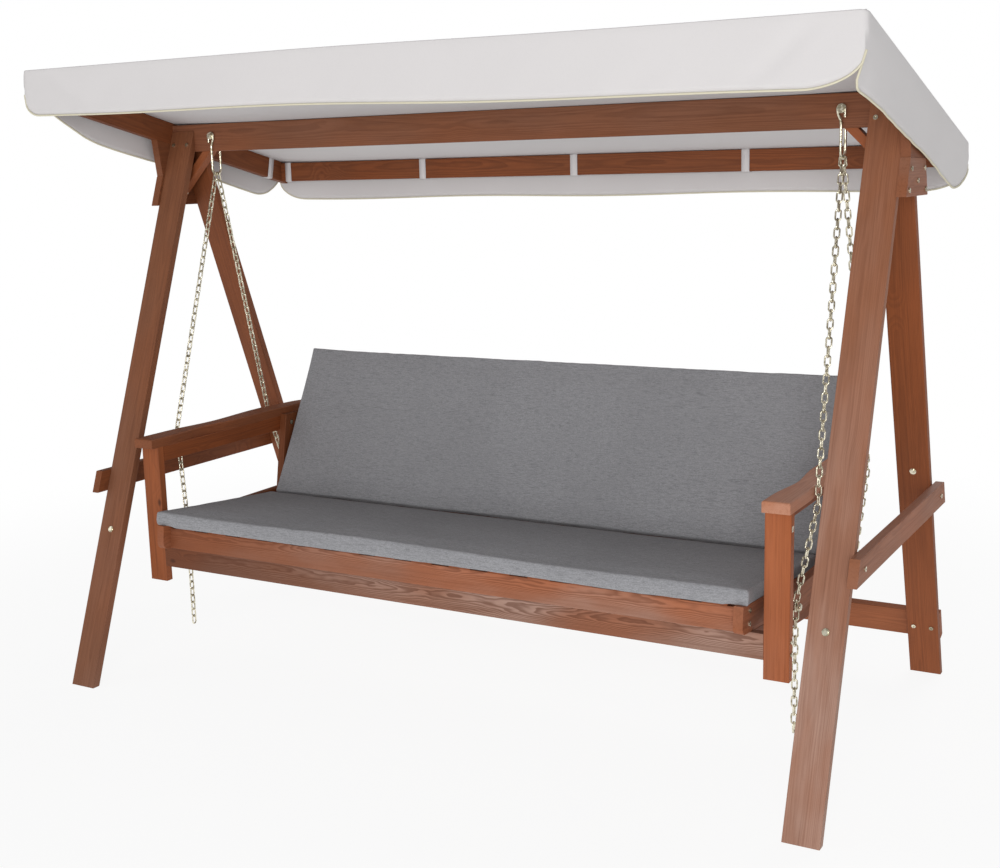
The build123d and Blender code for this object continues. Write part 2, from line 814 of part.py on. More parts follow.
with BuildPart() as rear_post:
    with BuildSketch(Plane.YZ.offset(rear_post_inner_side)):
        Polygon(
            (rear_post_face(rear_post_bottom), rear_post_bottom),
            (rear_post_face(rear_post_bottom) + rear_post_depth, rear_post_bottom),
            (rear_post_face(rear_post_top) + rear_post_depth, rear_post_top),
            (rear_post_face(rear_post_top), rear_post_top),
            align=None,
        )
    extrude(amount=board_thickness)
    ease(rear_post)
    drill(rear_post_bolt_places, (-1, 0, 0), bolt_radius + screw_play, long_screw_length)
    drill(rear_post_bolt_places, (1, 0, 0), bolt_head_radius + washer_rim + screw_play, bolt_sink)
    drill(rear_post_screw_places, (1, 0, 0), wood_hole, long_screw_length)
keep_pair("rear_post", rear_post.part)

arm_outside = post_inner_side + arm_width
with BuildPart() as armrest:
    with BuildSketch(Plane.XY.offset(arm_height)) as arm_board:
        with BuildLine():
            inner_straight = Line(
                (post_inner_side, arm_front), (post_inner_side, arm_inner_waist_place - arm_waist_half)
            )
            inner_waist = Spline(
                inner_straight @ 1,
                (post_inner_side + arm_inner_waist, arm_inner_waist_place),
                (post_inner_side, arm_inner_waist_place + arm_waist_half),
                tangents=[(0, 1), (0, 1)],
            )
            inner_rear = Line(inner_waist @ 1, (post_inner_side, arm_rear))
            outer_waist = Spline(
                (arm_outside, arm_shoulder),
                (arm_outside - arm_outer_waist, arm_outer_waist_place),
                (arm_outside, arm_outer_waist_place - arm_waist_half),
                tangents=[(0, -1), (0, -1)],
            )
            Spline(
                inner_rear @ 1,
                (arm_outside - arm_width * arm_tail_inner_share, arm_rear - arm_width * arm_tail_round_share),
                (arm_outside - arm_width * arm_tail_outer_share, (arm_shoulder + arm_rear - arm_width) / 2),
                outer_waist @ 0,
                tangents=[(1, 0), (0, -1)],
            )
            outer_front = Line(outer_waist @ 1, (arm_outside, arm_front))
            Line(outer_front @ 1, (post_inner_side, arm_front))
        make_face()
    extrude(amount=arm_thickness)
    fillet(armrest.faces().sort_by(Axis.Z)[-1].edges(), arm_edge_round)
keep_pair("armrest", armrest.part)

with BuildPart() as arm_rail:
    with BuildSketch(Plane.YZ.offset(post_inner_side)):
        with Locations((post_back, arm_height)):
            Rectangle(arm_rail_rear - post_back, arm_rail_height, align=(Align.MIN, Align.MAX))
    extrude(amount=board_thickness)
    ease(arm_rail)
    drill(rear_post_bolt_places, (-1, 0, 0), bolt_radius + screw_play, long_screw_length)
    drill(back_rail_screw_places, (1, 0, 0), wood_hole, screw_length)
keep_pair("arm_rail", arm_rail.part)

with BuildPart() as side_rail:
    with BuildSketch(Plane.YZ.offset(post_inner_side)):
        with Locations((post_back, side_rail_bottom)):
            Rectangle(side_rail_rear - post_back, side_rail_height, align=(Align.MIN, Align.MIN))
    extrude(amount=board_thickness)
    ease(side_rail)
    drill(rear_post_bolt_places, (-1, 0, 0), bolt_radius + screw_play, long_screw_length)
    drill(chain_bolt_places, (1, 0, 0), bolt_radius + screw_play, long_screw_length)
keep_pair("side_rail", side_rail.part)

with BuildPart() as bench_front_rail:
    with BuildSketch(Plane.YZ):
        with Locations((post_middle, front_rail_bottom + front_rail_height / 2)):
            Rectangle(board_thickness, front_rail_height)
    extrude(amount=post_inner_side)
    ease(bench_front_rail)
    drill(post_screw_places, (1, 0, 0), wood_hole, long_screw_length)
    mirror(about=Plane.YZ)
keep("bench_front_rail", bench_front_rail.part)

with BuildPart() as bench_rear_rail:
    with BuildSketch(Plane.YZ):
        with Locations((rear_rail_middle, rear_rail_top - rear_rail_height / 2)):
            Rectangle(board_thickness, rear_rail_height)
    extrude(amount=rear_post_inner_side)
    ease(bench_rear_rail)
    drill(rear_post_screw_places, (1, 0, 0), wood_hole, long_screw_length)
    mirror(about=Plane.YZ)
keep("bench_rear_rail", bench_rear_rail.part)

with BuildPart() as bench_back_rail:
    with BuildSketch(Plane.YZ):
        with Locations((stile_back_at_arm, arm_height)):
            Rectangle(board_thickness, back_rail_height, align=(Align.MIN, Align.MAX))
    extrude(amount=post_inner_side)
    ease(bench_back_rail)
    drill(back_rail_screw_places, (1, 0, 0), wood_hole, screw_length)
    mirror(about=Plane.YZ)
keep("bench_back_rail", bench_back_rail.part)

# Runners that the seat's side boards slide on
with BuildPart() as seat_runners:
    with BuildSketch(Plane.YZ.offset(seat_inner)):
        Polygon(
            (post_back, under_seat(post_back)),
            (rear_rail_front, under_seat(rear_rail_front)),
            (rear_rail_front, under_seat(rear_rail_front) - runner_height),
            (post_back, under_seat(post_back) - runner_height),
            align=None,
        )
    extrude(amount=board_thickness)
    ease(seat_runners)
    mirror(about=Plane.YZ)
keep("seat_runners", seat_runners.part)

# Fasteners of the bench
with BuildPart() as chain_bolts:
    drive_bolts(chain_bolt_places, (1, 0, 0), chain_bolt_grip, bolt_radius, chain_bolt_head / 2)
    mirror(about=Plane.YZ)
keep("chain_bolts", chain_bolts.part)

with BuildPart() as post_bolts:
    sunk_grip = 2 * board_thickness - bolt_sink
    drive_bolts(rear_post_bolt_places, (-1, 0, 0), sunk_grip, bolt_radius, bolt_head_radius)
    with Locations(Plane(origin=barrel_place, z_dir=(-1, 0, 0))):
        Cylinder(
            barrel_radius,
            post_width - board_thickness,
            align=(Align.CENTER, Align.CENTER, Align.MIN),
        )
    mirror(about=Plane.YZ)
keep("post_bolts", post_bolts.part)

with BuildPart() as post_screws:
    drive_screws(post_screw_places, (1, 0, 0), long_screw_length - board_thickness / 2)
    drive_screws(rear_post_screw_places, (1, 0, 0), screw_length)
    drive_screws(back_rail_screw_places, (1, 0, 0), screw_length - board_thickness / 2)
    mirror(about=Plane.YZ)
keep("post_screws", post_screws.part)

# Seat frame: side boards with a rounded nose, two cross rails and slats
seat_front_rail_middle = seat_front_rail_inset + board_thickness / 2
seat_screw_places = [
    tuple(seat.from_local_coords((seat_half, seat_front_rail_middle, -seat_board_height * share)))
    for share in seat_front_screw_shares
]
seat_screw_places += [
    tuple(seat.from_local_coords((seat_half, seat_depth - board_thickness / 2, -seat_board_height * share)))
    for share in seat_rear_screw_shares
]
with BuildPart() as seat_side:
    with BuildSketch(seat):
        with Locations((seat_inner + board_thickness / 2, seat_depth / 2)):
            Rectangle(board_thickness, seat_depth)
    extrude(amount=-seat_board_height)
    nose = seat_side.edges().filter_by(Axis.X).group_by(Axis.Y)[0].sort_by(Axis.Z)[0]
    fillet(nose, seat_nose_round)
    drill(seat_screw_places, (1, 0, 0), wood_hole, long_screw_length)
keep_pair("seat_side", seat_side.part)

for rail_name, rail_start in (
    ("seat_front_rail", seat_front_rail_inset),
    ("seat_rear_rail", seat_depth - board_thickness),
):
    with BuildPart() as seat_cross_rail:
        with BuildSketch(seat.offset(-slat_thickness)):
            with Locations((0, rail_start)):
                Rectangle(seat_inner, board_thickness, align=(Align.MIN, Align.MIN))
        extrude(amount=slat_thickness - seat_board_height)
        ease(seat_cross_rail)
        drill(seat_screw_places, (1, 0, 0), wood_hole, long_screw_length)
        mirror(about=Plane.YZ)
    keep(rail_name, seat_cross_rail.part)

with BuildPart() as seat_slats:
    with BuildSketch(seat.offset(-slat_thickness)):
        with Locations((0, (seat_front_rail_inset + seat_depth) / 2)):
            with GridLocations(slat_spacing, 0, slat_count, 1):
                Rectangle(slat_width, seat_depth - seat_front_rail_inset)
    extrude(amount=slat_thickness)
    ease(seat_slats)
keep("seat_slats", seat_slats.part)

with BuildPart() as seat_screws:
    drive_screws(seat_screw_places, (1, 0, 0), screw_length)
    mirror(about=Plane.YZ)
keep("seat_screws", seat_screws.part)

# Backrest frame: two stiles, two rails and slats
stile_length = back_below + back_above
with BuildPart() as back_stiles:
    with BuildSketch(back):
        with Locations((seat_inner + board_thickness / 2, (back_above - back_below) / 2)):
            Rectangle(board_thickness, stile_length)
    extrude(amount=-back_board_depth)
    ease(back_stiles)
    mirror(about=Plane.YZ)
keep("back_stiles", back_stiles.part)

with BuildPart() as back_rails:
    with BuildSketch(back.offset(-slat_thickness)):
        for rail_middle in (back_rail_width / 2 - back_below, back_above - back_rail_width / 2):
            with Locations((0, rail_middle)):
                Rectangle(2 * seat_inner, back_rail_width)
    extrude(amount=-board_thickness)
    ease(back_rails)
keep("back_rails", back_rails.part)

with BuildPart() as back_slats:
    with BuildSketch(back.offset(-slat_thickness)):
        with Locations((0, (back_above - back_below) / 2)):
            with GridLocations(slat_spacing, 0, slat_count, 1):
                Rectangle(slat_width, stile_length)
    extrude(amount=slat_thickness)
    ease(back_slats)
keep("back_slats", back_slats.part)

# Butt hinges: the seat's leaf carries the outer knuckles, the backrest's leaf the pinned middle one
knuckle_length = hinge_width / 3
hinge_on_seat = seat.to_local_coords(hinge_line)
leaf_foot = seat.from_local_coords((0, seat_depth, hinge_on_seat.Z))
leaf_face = Plane(origin=leaf_foot, x_dir=(1, 0, 0), z_dir=seat.y_dir)
with BuildPart() as seat_hinge_leaves:
    for place in hinge_places:
        with BuildSketch(leaf_face):
            with Locations((place, -hinge_plate / 2)):
                Rectangle(hinge_width, hinge_leaf_height, align=(Align.CENTER, Align.MIN))
        extrude(amount=hinge_plate)
        with BuildSketch(leaf_face):
            for shift in (-knuckle_length, knuckle_length):
                with Locations((place + shift, 0)):
                    Rectangle(knuckle_length - hinge_knuckle_gap, hinge_plate)
        extrude(amount=hinge_on_seat.Y - seat_depth)
        for shift in (-knuckle_length, knuckle_length):
            with Locations(Plane(origin=hinge_line + Vector(place + shift, 0, 0), z_dir=(1, 0, 0))):
                Cylinder(hinge_barrel_radius, knuckle_length - hinge_knuckle_gap)
        with Locations(Plane(origin=hinge_line + Vector(place, 0, 0), z_dir=(1, 0, 0))):
            Cylinder(hinge_pin_radius + pin_play, hinge_width, mode=Mode.SUBTRACT)
    mirror(about=Plane.YZ)
keep("seat_hinge_leaves", seat_hinge_leaves.part)

with BuildPart() as back_hinge_leaves:
    for place in hinge_places:
        with BuildSketch(back.offset(-slat_thickness - board_thickness)):
            with Locations((place, -back_below)):
                Rectangle(
                    knuckle_length - hinge_knuckle_gap,
                    hinge_plate,
                    align=(Align.CENTER, Align.MAX),
                )
        extrude(amount=slat_thickness + board_thickness + hinge_forward)
        with BuildSketch(back.offset(-slat_thickness - board_thickness)):
            with Locations((place, -back_below)):
                Rectangle(hinge_width, hinge_plate, align=(Align.CENTER, Align.MAX))
        extrude(amount=board_thickness)
        with Locations(Plane(origin=hinge_line + Vector(place, 0, 0), z_dir=(1, 0, 0))):
            Cylinder(hinge_barrel_radius, knuckle_length - hinge_knuckle_gap)
            Cylinder(hinge_pin_radius, hinge_width)
    mirror(about=Plane.YZ)
keep("back_hinge_leaves", back_hinge_leaves.part)


def cushion_section(length, thickness, crown, bulge, draw):
    """One cross-section of a cushion: a flat base, bulging ends and a crowned top."""
    base_start, base_end = (bulge + draw, 0), (length - bulge - draw, 0)
    top_start, top_end = (bulge + draw, thickness - draw), (length - bulge - draw, thickness - draw)
    with BuildSketch() as section:
        with BuildLine():
            Line(base_start, base_end)
            ThreePointArc(base_end, (length - draw, (thickness - draw) / 2), top_end)
            ThreePointArc(top_end, (length / 2, thickness - draw + crown), top_start)
            ThreePointArc(top_start, (draw, (thickness - draw) / 2), base_start)
        make_face()
    return section.sketch


def cushion_shape(plane, start, half_width, length, thickness):
    """A long cushion, drawn in at both ends and crowned along its middle."""
    stations = [
        (-half_width, cushion_draw_in, cushion_crown * crown_end_share),
        (cushion_end_run - half_width, 0, cushion_crown * crown_run_share),
        (0, 0, cushion_crown),
        (half_width - cushion_end_run, 0, cushion_crown * crown_run_share),
        (half_width, cushion_draw_in, cushion_crown * crown_end_share),
    ]
    sections = []
    for place, draw, crown in stations:
        across = Plane(
            origin=plane.from_local_coords((place, start, soft_gap)), x_dir=plane.y_dir, z_dir=(1, 0, 0)
        )
        sections.append(across * cushion_section(length, thickness, crown, cushion_side_bulge, draw))
    return sections


with BuildPart() as seat_cushion:
    seat_sections = cushion_shape(
        seat, seat_cushion_front, seat_cushion_half, seat_cushion_rear - seat_cushion_front, cushion_thickness
    )
    loft(seat_sections, ruled=True)
keep("seat_cushion", seat_cushion.part)

with BuildPart() as back_cushion:
    back_sections = cushion_shape(back, 0, back_cushion_half, back_cushion_length, back_cushion_thickness)
    loft(back_sections, ruled=True)
keep("back_cushion", back_cushion.part)
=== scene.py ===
"""A wooden garden swing with a cloth canopy and long cushions, dressed over its CAD parts."""

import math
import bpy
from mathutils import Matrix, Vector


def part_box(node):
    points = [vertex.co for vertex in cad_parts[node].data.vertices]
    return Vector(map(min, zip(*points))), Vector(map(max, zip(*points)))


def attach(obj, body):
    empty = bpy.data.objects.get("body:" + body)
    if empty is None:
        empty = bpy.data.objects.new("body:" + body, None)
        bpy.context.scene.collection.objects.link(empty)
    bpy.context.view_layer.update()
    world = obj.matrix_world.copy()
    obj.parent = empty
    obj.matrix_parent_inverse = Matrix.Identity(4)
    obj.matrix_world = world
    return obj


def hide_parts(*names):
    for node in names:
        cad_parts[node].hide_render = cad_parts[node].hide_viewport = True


bl_info = {
    "name": "Garden swing",
    "version": (1, 0, 0),
    "blender": (4, 5, 0),
    "location": "View3D > Sidebar > Garden swing",
    "description": "Stains the timber and makes the canopy, cushions and stage of a garden swing",
    "category": "Add Mesh",
}

import bmesh
import bpy
from mathutils import Matrix, Vector, noise

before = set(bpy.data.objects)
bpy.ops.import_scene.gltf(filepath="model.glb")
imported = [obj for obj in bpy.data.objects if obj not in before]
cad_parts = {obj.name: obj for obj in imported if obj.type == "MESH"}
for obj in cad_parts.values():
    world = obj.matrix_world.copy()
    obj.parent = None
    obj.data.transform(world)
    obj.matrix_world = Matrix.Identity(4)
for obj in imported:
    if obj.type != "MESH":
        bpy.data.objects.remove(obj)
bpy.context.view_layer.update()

# Places and sizes of the CAD parts, in metres, and their slopes, in degrees
SEAT_FALL = 5.5
SEAT_FRONT = -0.490
SEAT_TOP = 0.518
SEAT_CUSHION_START = 0.013
SEAT_CUSHION_LENGTH = 0.573
SEAT_CUSHION_HALF = 0.990
BACK_LEAN = 28.5
BACK_FOOT = 0.153
BACK_FOOT_HEIGHT = 0.491
BACK_CUSHION_LENGTH = 0.541
BACK_CUSHION_HALF = 0.987
LEG_LEAN = 20.04
REAR_POST_LEAN = 9.9
ROOF_FALL = 12.9
ROOF_HEIGHT = 1.7909
ROOF_LIFT = 0.0024
CLOTH_REACH = 0.6085
CLOTH_HALF = 1.2795
CROSS_RAIL_PLACE = 0.573
CROSS_RAIL_HEIGHT = 0.068
SIDE_RAIL_PLACE = 1.253
SIDE_RAIL_HEIGHT = 0.072
RAIL_THICKNESS = 0.026
STRAP_PLACES = (-1.205, -0.6025, 0.0, 0.6025, 1.205)
SIDE_STRAP_PLACE = 0.520
LOOP_WIDTH = 0.026
BEAM_HALF = 0.014
SIDE_BOARD_PLACE = 0.945
SLATS_HALF = 0.957
SLAT_COUNT = 15


def paint(red, green, blue):
    """A display colour in whole numbers to 255, as the linear colour that a shader takes."""

    def linear(level):
        level /= 255
        return level / 12.92 if level <= 0.04045 else ((level + 0.055) / 1.055) ** 2.4

    return (linear(red), linear(green), linear(blue))


def colour_property(name, description, default):
    return bpy.props.FloatVectorProperty(
        name=name, description=description, subtype="COLOR", size=3, min=0, max=1, default=default
    )


def length_property(name, description, default, high=1.0):
    return bpy.props.FloatProperty(
        name=name,
        description=description,
        subtype="DISTANCE",
        unit="LENGTH",
        min=0,
        max=high,
        default=default,
    )


def number_property(name, description, default):
    return bpy.props.FloatProperty(name=name, description=description, default=default)


class SwingTimber(bpy.types.PropertyGroup):
    """Colours and grain of the stained boards."""

    brown: colour_property("Brown stain", "Stain of the legs and rails", paint(132, 80, 50))
    orange: colour_property("Orange stain", "Stain of the posts", paint(166, 84, 35))
    late: colour_property("Late wood", "Stain on the hard line of each ring", paint(70, 34, 20))
    # the veil is painted sheen: a greyish pink laid over the boards in place of the light that their faces
    # reflect
    painted_sheen: colour_property("Veil", "Greyish bloom on the flat sides", paint(168, 138, 124))
    knot: colour_property("Knots", "Colour in the middle of a knot", paint(58, 30, 20))
    ring: length_property("Ring width", "Mean distance between growth rings", 0.0030, 0.02)


class SwingMetal(bpy.types.PropertyGroup):
    """Finish of chains, stirrups, screws and bolts."""

    zinc: colour_property("Zinc", "Pale yellow zinc plating", paint(232, 226, 204))
    # the dull colour is partly duller plating and partly painted dark reflection, darkened so that the chains
    # show contrast
    dull_and_dark_reflection: colour_property("Dull zinc", "Duller patches of the plating", paint(130, 120, 94))


class SwingCanopy(bpy.types.PropertyGroup):
    """The cloth roof with its valances."""

    cloth: colour_property("Cloth", "Canopy cloth", paint(206, 203, 203))
    piping: colour_property("Piping", "Binding along the hems", paint(204, 198, 176))
    thickness: length_property("Cloth thickness", "Thickness of the canopy cloth", 0.0014, 0.01)
    front_drop: length_property("Front valance", "Height of the front valance at its right end", 0.167)
    side_drop: length_property("Side valances", "Height of the right side valance", 0.168)
    rear_drop: length_property("Rear valance", "Height of the rear valance", 0.132)
    left_drop: length_property("Left end", "Height of the front valance at its left end", 0.136)
    left_side_drop: length_property("Left side valance", "Height of the left side valance", 0.142)
    corner: length_property("Corner", "Height that stays joined at the right front corner", 0.082)
    left_corner: length_property("Left corner", "Height that stays joined at the left front corner", 0.075)
    rear_corner: length_property("Rear corner", "Height that stays joined at each rear corner", 0.056)
    corner_run: length_property("Corner run", "Length over which the right front corner rounds", 0.135)
    left_run: length_property("Left corner run", "Length over which the left front corner rounds", 0.056)
    side_run: length_property("Side corner run", "Length over which the right side valance rounds", 0.024)
    left_side_run: length_property("Left side run", "Length over which the left side valance rounds", 0.30)
    swing: length_property("Swing", "Distance that the right side valance swings in at its front", 0.020, 0.2)
    front_round: length_property("Front rounding", "Radius of the front corners in plan", 0.016, 0.1)
    rear_round: length_property("Rear rounding", "Radius of the rear corners in plan", 0.026, 0.1)
    rear_run: length_property("Rear corner run", "Length over which the left rear corner rounds", 0.160)
    fold: length_property("Fold", "Radius of the fold round the roof", 0.008, 0.03)
    sag: length_property("Sag", "Depth that the cloth sags between beam and rails", 0.015, 0.05)
    puff: length_property("Puff", "Height that the front edge stands off its rail", 0.012, 0.05)


class SwingCushions(bpy.types.PropertyGroup):
    """The seat and back cushions."""

    light: colour_property("Light yarn", "Lighter threads of the cover", paint(158, 158, 161))
    dark: colour_property("Dark yarn", "Darker threads of the cover", paint(121, 121, 124))
    seat_thickness: length_property("Seat cushion", "Thickness of the seat cushion", 0.043, 0.2)
    back_thickness: length_property("Back cushion", "Thickness of the back cushion", 0.045, 0.2)
    pressure: number_property("Pressure", "Pressure of the filling in the cloth simulation", 4.0)
    swelling: length_property("Swelling", "Farthest that the simulation may move a point", 0.003, 0.03)


class SwingStage(bpy.types.PropertyGroup):
    """Camera, floor and lamps."""

    eye: bpy.props.FloatVectorProperty(
        name="Camera", description="Place of the camera", subtype="XYZ", default=(2.1149, -3.6726, 1.6112)
    )
    turn: number_property("Turn", "Camera turned left, in degrees", 29.82)
    tip: number_property("Tip", "Camera tipped down, in degrees", 10.81)
    roll: number_property("Roll", "Camera rolled, in degrees", -1.40)
    lens: number_property("Lens", "Focal length, in millimetres", 49.75)
    key: number_property("Key lamp", "Power of the key lamp, in watts", 240.0)
    fill: number_property("Fill lamp", "Power of the fill lamp, in watts", 45.0)
    rear: number_property("Rear lamp", "Power of the rear lamp, in watts", 150.0)
    sky: number_property("Sky", "Strength of the even light", 0.37)


def maths(operation, field_last=False):
    """A method of Field that adds one Math node."""

    def method(field, *others):
        terms = (*others, field) if field_last else (field, *others)
        return field.shader.node("ShaderNodeMath", {"operation": operation}, dict(enumerate(terms)))["Value"]

    return method


class Field:
    """A number that varies over a surface. Python arithmetic on it adds Math nodes."""

    def __init__(self, shader, socket):
        self.shader = shader
        self.socket = socket

    __add__ = __radd__ = maths("ADD")
    __mul__ = __rmul__ = maths("MULTIPLY")
    __sub__ = maths("SUBTRACT")
    __rsub__ = maths("SUBTRACT", field_last=True)
    __truediv__ = maths("DIVIDE")
    __pow__ = maths("POWER")
    fraction = maths("FRACT")
    whole = maths("FLOOR")
    sine = maths("SINE")

    def ramp(self, low, high):
        """0 below low, 1 above high, smooth between."""
        return self.shader.node(
            "ShaderNodeMapRange",
            {"interpolation_type": "SMOOTHSTEP"},
            {"Value": self, "From Min": low, "From Max": high, "To Min": 0.0, "To Max": 1.0},
        )["Result"]


class Shader:
    """One material's node tree, with the calls that its finish is written in."""

    def __init__(self, name):
        self.material = bpy.data.materials.new(name)
        self.material.use_nodes = True
        self.tree = self.material.node_tree
        self.tree.nodes.clear()
        self.surface = self.tree.nodes.new("ShaderNodeBsdfPrincipled")
        self.output = self.tree.nodes.new("ShaderNodeOutputMaterial")
        self.tree.links.new(self.surface.outputs["BSDF"], self.output.inputs["Surface"])

    def feed(self, socket, value):
        if isinstance(value, Field):
            self.tree.links.new(value.socket, socket)
        elif isinstance(value, (tuple, list)) and len(value) == 3 and socket.type == "RGBA":
            socket.default_value = (*value, 1.0)
        else:
            socket.default_value = value

    def node(self, kind, settings=(), sockets=()):
        """Adds a node, sets it up, feeds its sockets and returns its outputs by name."""
        node = self.tree.nodes.new(kind)
        for key, value in dict(settings).items():
            setattr(node, key, value)
        for key, value in dict(sockets).items():
            self.feed(node.inputs[key], value)
        return {out.name: Field(self, out) for out in node.outputs if out.enabled}

    def place(self):
        return self.node("ShaderNodeTexCoord")["Object"]

    def turned(self, vector, turn=(0, 0, 0), shift=(0, 0, 0), scale=(1, 1, 1)):
        """A pattern's own coordinates: scaled, turned and then shifted."""
        return self.node(
            "ShaderNodeMapping", {}, {"Vector": vector, "Rotation": turn, "Location": shift, "Scale": scale}
        )["Vector"]

    def parts(self, vector):
        axes = self.node("ShaderNodeSeparateXYZ", {}, {"Vector": vector})
        return axes["X"], axes["Y"], axes["Z"]

    def joined(self, x, y, z):
        return self.node("ShaderNodeCombineXYZ", {}, {"X": x, "Y": y, "Z": z})["Vector"]

    def noise(self, vector, scale, detail=2.0, roughness=0.5):
        return self.node(
            "ShaderNodeTexNoise",
            {},
            {"Vector": vector, "Scale": scale, "Detail": detail, "Roughness": roughness},
        )["Fac"]

    def grain(self, vector, stretch, detail, roughness, shift=(0, 0, 0)):
        """Noise with a scale of its own along each axis."""
        return self.noise(self.turned(vector, shift=shift, scale=stretch), 1.0, detail, roughness)

    def mix(self, share, first, second):
        """A mix of two colours."""
        node = self.tree.nodes.new("ShaderNodeMix")
        node.data_type = "RGBA"
        self.feed(node.inputs[0], share)
        self.feed(node.inputs[6], first)
        self.feed(node.inputs[7], second)
        return Field(self, node.outputs[2])

    def glow(self, colour, share):
        """Replaces a share of the surface by plain light of one colour."""
        light = self.node("ShaderNodeEmission", {}, {"Color": colour, "Strength": 1.0})["Emission"]
        both = self.tree.nodes.new("ShaderNodeMixShader")
        self.feed(both.inputs[0], share)
        self.tree.links.new(self.surface.outputs["BSDF"], both.inputs[1])
        self.tree.links.new(light.socket, both.inputs[2])
        self.tree.links.new(both.outputs[0], self.output.inputs["Surface"])

    def finish(self, colour, roughness, height=None, depth=0.001, strength=1.0, **fixed):
        """Feeds the surface: colour, roughness, a bump from a height, and plain numbers by name."""
        self.feed(self.surface.inputs["Base Color"], colour)
        self.feed(self.surface.inputs["Roughness"], roughness)
        for key, value in fixed.items():
            self.feed(self.surface.inputs[key.replace("_", " ")], value)
        if height is not None:
            normal = self.node(
                "ShaderNodeBump", {}, {"Height": height, "Distance": depth, "Strength": strength}
            )["Normal"]
            self.feed(self.surface.inputs["Normal"], normal)
        return self.material


def stained_wood(name, along, face, centre, seed, stain, tone, painted_sheen, contrast, pitch, darkening):
    """Stained softwood, its rings running along one direction.

    The pitch gives each board of a row its own grain, and darkening is the share of dark stain at the
    left end of a board. Either can be None.
    """
    timber = bpy.context.scene.swing_timber
    shader = Shader(name)
    along = Vector(along).normalized()
    face = Vector(face).normalized()
    turn = Matrix((along, face.cross(along), face))
    vector = shader.turned(shader.place(), turn.to_euler(), turn @ -Vector(centre))
    length, across, depth = shader.parts(vector)
    if pitch:
        number = (across / pitch + 0.5).whole()
        chance = shader.node(
            "ShaderNodeTexWhiteNoise", {"noise_dimensions": "1D"}, {"W": number + seed * 7.0}
        )["Value"]
        length = length + chance * 9.0
        across = across - number * pitch + (chance - 0.5) * 0.05
        depth = depth + chance * 0.02
    # upright boards are greyer towards their feet, where more painted sheen is mixed in, and darkened boards
    # get more painted sheen and less dark stain towards their right end
    greyer_to_feet = 1.35 - length.ramp(-0.9, 0.7) * 1.05 if along.z > 0.5 else 1.0
    paler = length.ramp(-1.05, 0.15) if darkening else 1.0
    place = shader.joined(length + seed * 3.7, across, depth)

    # noises: slow waves and small jogs of the rings, fibres, streaks and clouds of stain, clouds of painted
    # sheen and orange patches
    deep, aside = (0, 0, seed), (0, seed, 0)
    slow = shader.grain(place, (0.9, 5.0, 5.0), 2.0, 0.5, deep) - 0.5
    drift = shader.grain(place, (5.0, 22.0, 22.0), 3.0, 0.6, deep) - 0.5
    fibre = shader.grain(place, (7.0, 340.0, 340.0), 3.0, 0.65)
    streak = shader.grain(place, (2.6, 120.0, 120.0), 3.0, 0.6, deep)
    cloud = shader.grain(place, (4.2, 15.0, 15.0), 3.0, 0.6, deep)
    sheen_cloud = shader.grain(place, (2.6, 9.0, 9.0), 3.0, 0.55, aside)
    patch = shader.grain(place, (1.7, 2.0, 1.0), 1.0, 0.5, aside)
    patch = patch.ramp(0.47, 0.60) * min(1.0, 1.8 * contrast)

    # knots: a few chosen cells, round which the rings swirl
    cells = shader.node(
        "ShaderNodeTexVoronoi",
        {},
        {"Vector": shader.turned(place, shift=aside, scale=(5.0, 8.0, 1.0)), "Scale": 1.0},
    )
    chosen = cells["Color"].ramp(0.64, 0.66)
    knot = (1 - cells["Distance"].ramp(0.03, 0.09)) * chosen
    swirl = (1 - cells["Distance"].ramp(0.05, 0.35)) * chosen

    # growth rings round a pith below the board's face
    figure = 0.45 + 1.2 * contrast
    side = across + slow * (0.075 * figure) + 0.018 * math.sin(seed * 2.1)
    down = depth + 0.045 + slow * (0.050 * figure) + 0.010 * math.cos(seed * 1.7)
    radius = (side * side + down * down) ** 0.5 + drift * (0.008 * figure) + swirl * 0.008
    ring = (radius / (timber.ring * (1.3 - 1.4 * contrast))).fraction()
    late = ring.ramp(0.15, 0.80) * (1 - ring.ramp(0.86, 1.0))

    # the tone scales all of a board's colours: partly its own tone, partly painted light and shade
    early = [(a * (1 - stain) + b * stain) * tone for a, b in zip(timber.brown, timber.orange)]
    dark = [(a * 0.75 + b * 0.25) * tone for a, b in zip(timber.late, early)]
    body = shader.mix(cloud.ramp(0.38, 0.70) * 0.30, early, [c * 0.62 for c in early])
    body = shader.mix(patch * 0.45, body, [c * tone for c in timber.orange])
    # painted sheen: the veil colour is mixed over the body in clouds, more on some boards than others
    share = (0.55 + sheen_cloud.ramp(0.36, 0.64) * 0.6) * (1 - patch * 0.6) * painted_sheen
    body = shader.mix(share * greyer_to_feet * (0.35 + paler * 0.65), body, [c * tone for c in timber.painted_sheen])
    if darkening:
        body = shader.mix((1 - paler) * darkening, body, dark)
    body = shader.mix(late * (contrast * 1.25), body, dark)
    body = shader.mix(streak.ramp(0.46, 0.72) * 0.26, body, dark)
    body = shader.mix(fibre.ramp(0.48, 0.78) * 0.30, body, dark)
    body = shader.mix(knot * 0.75, body, [c * tone for c in timber.knot])
    height = late * 0.3 + fibre * 0.7
    return shader.finish(body, 0.50 + fibre * 0.2, height, 0.0005, 0.5, Specular_IOR_Level=0.22)


def plated_metal(name):
    """Yellow-tinted zinc plating with darker patches: partly duller plating, partly painted dark reflections.
    """
    metal = bpy.context.scene.swing_metal
    shader = Shader(name)
    place = shader.place()
    patch = shader.noise(place, 85.0, 3.0, 0.6)
    grain = shader.noise(place, 900.0, 2.0, 0.5)
    # darker patches: partly duller plating, partly painted dark reflections
    colour = shader.mix(patch.ramp(0.44, 0.62) * 0.8, tuple(metal.zinc), tuple(metal.dull_and_dark_reflection))
    return shader.finish(colour, 0.18 + patch * 0.16, grain, 0.0002, 0.25, Metallic=0.9)


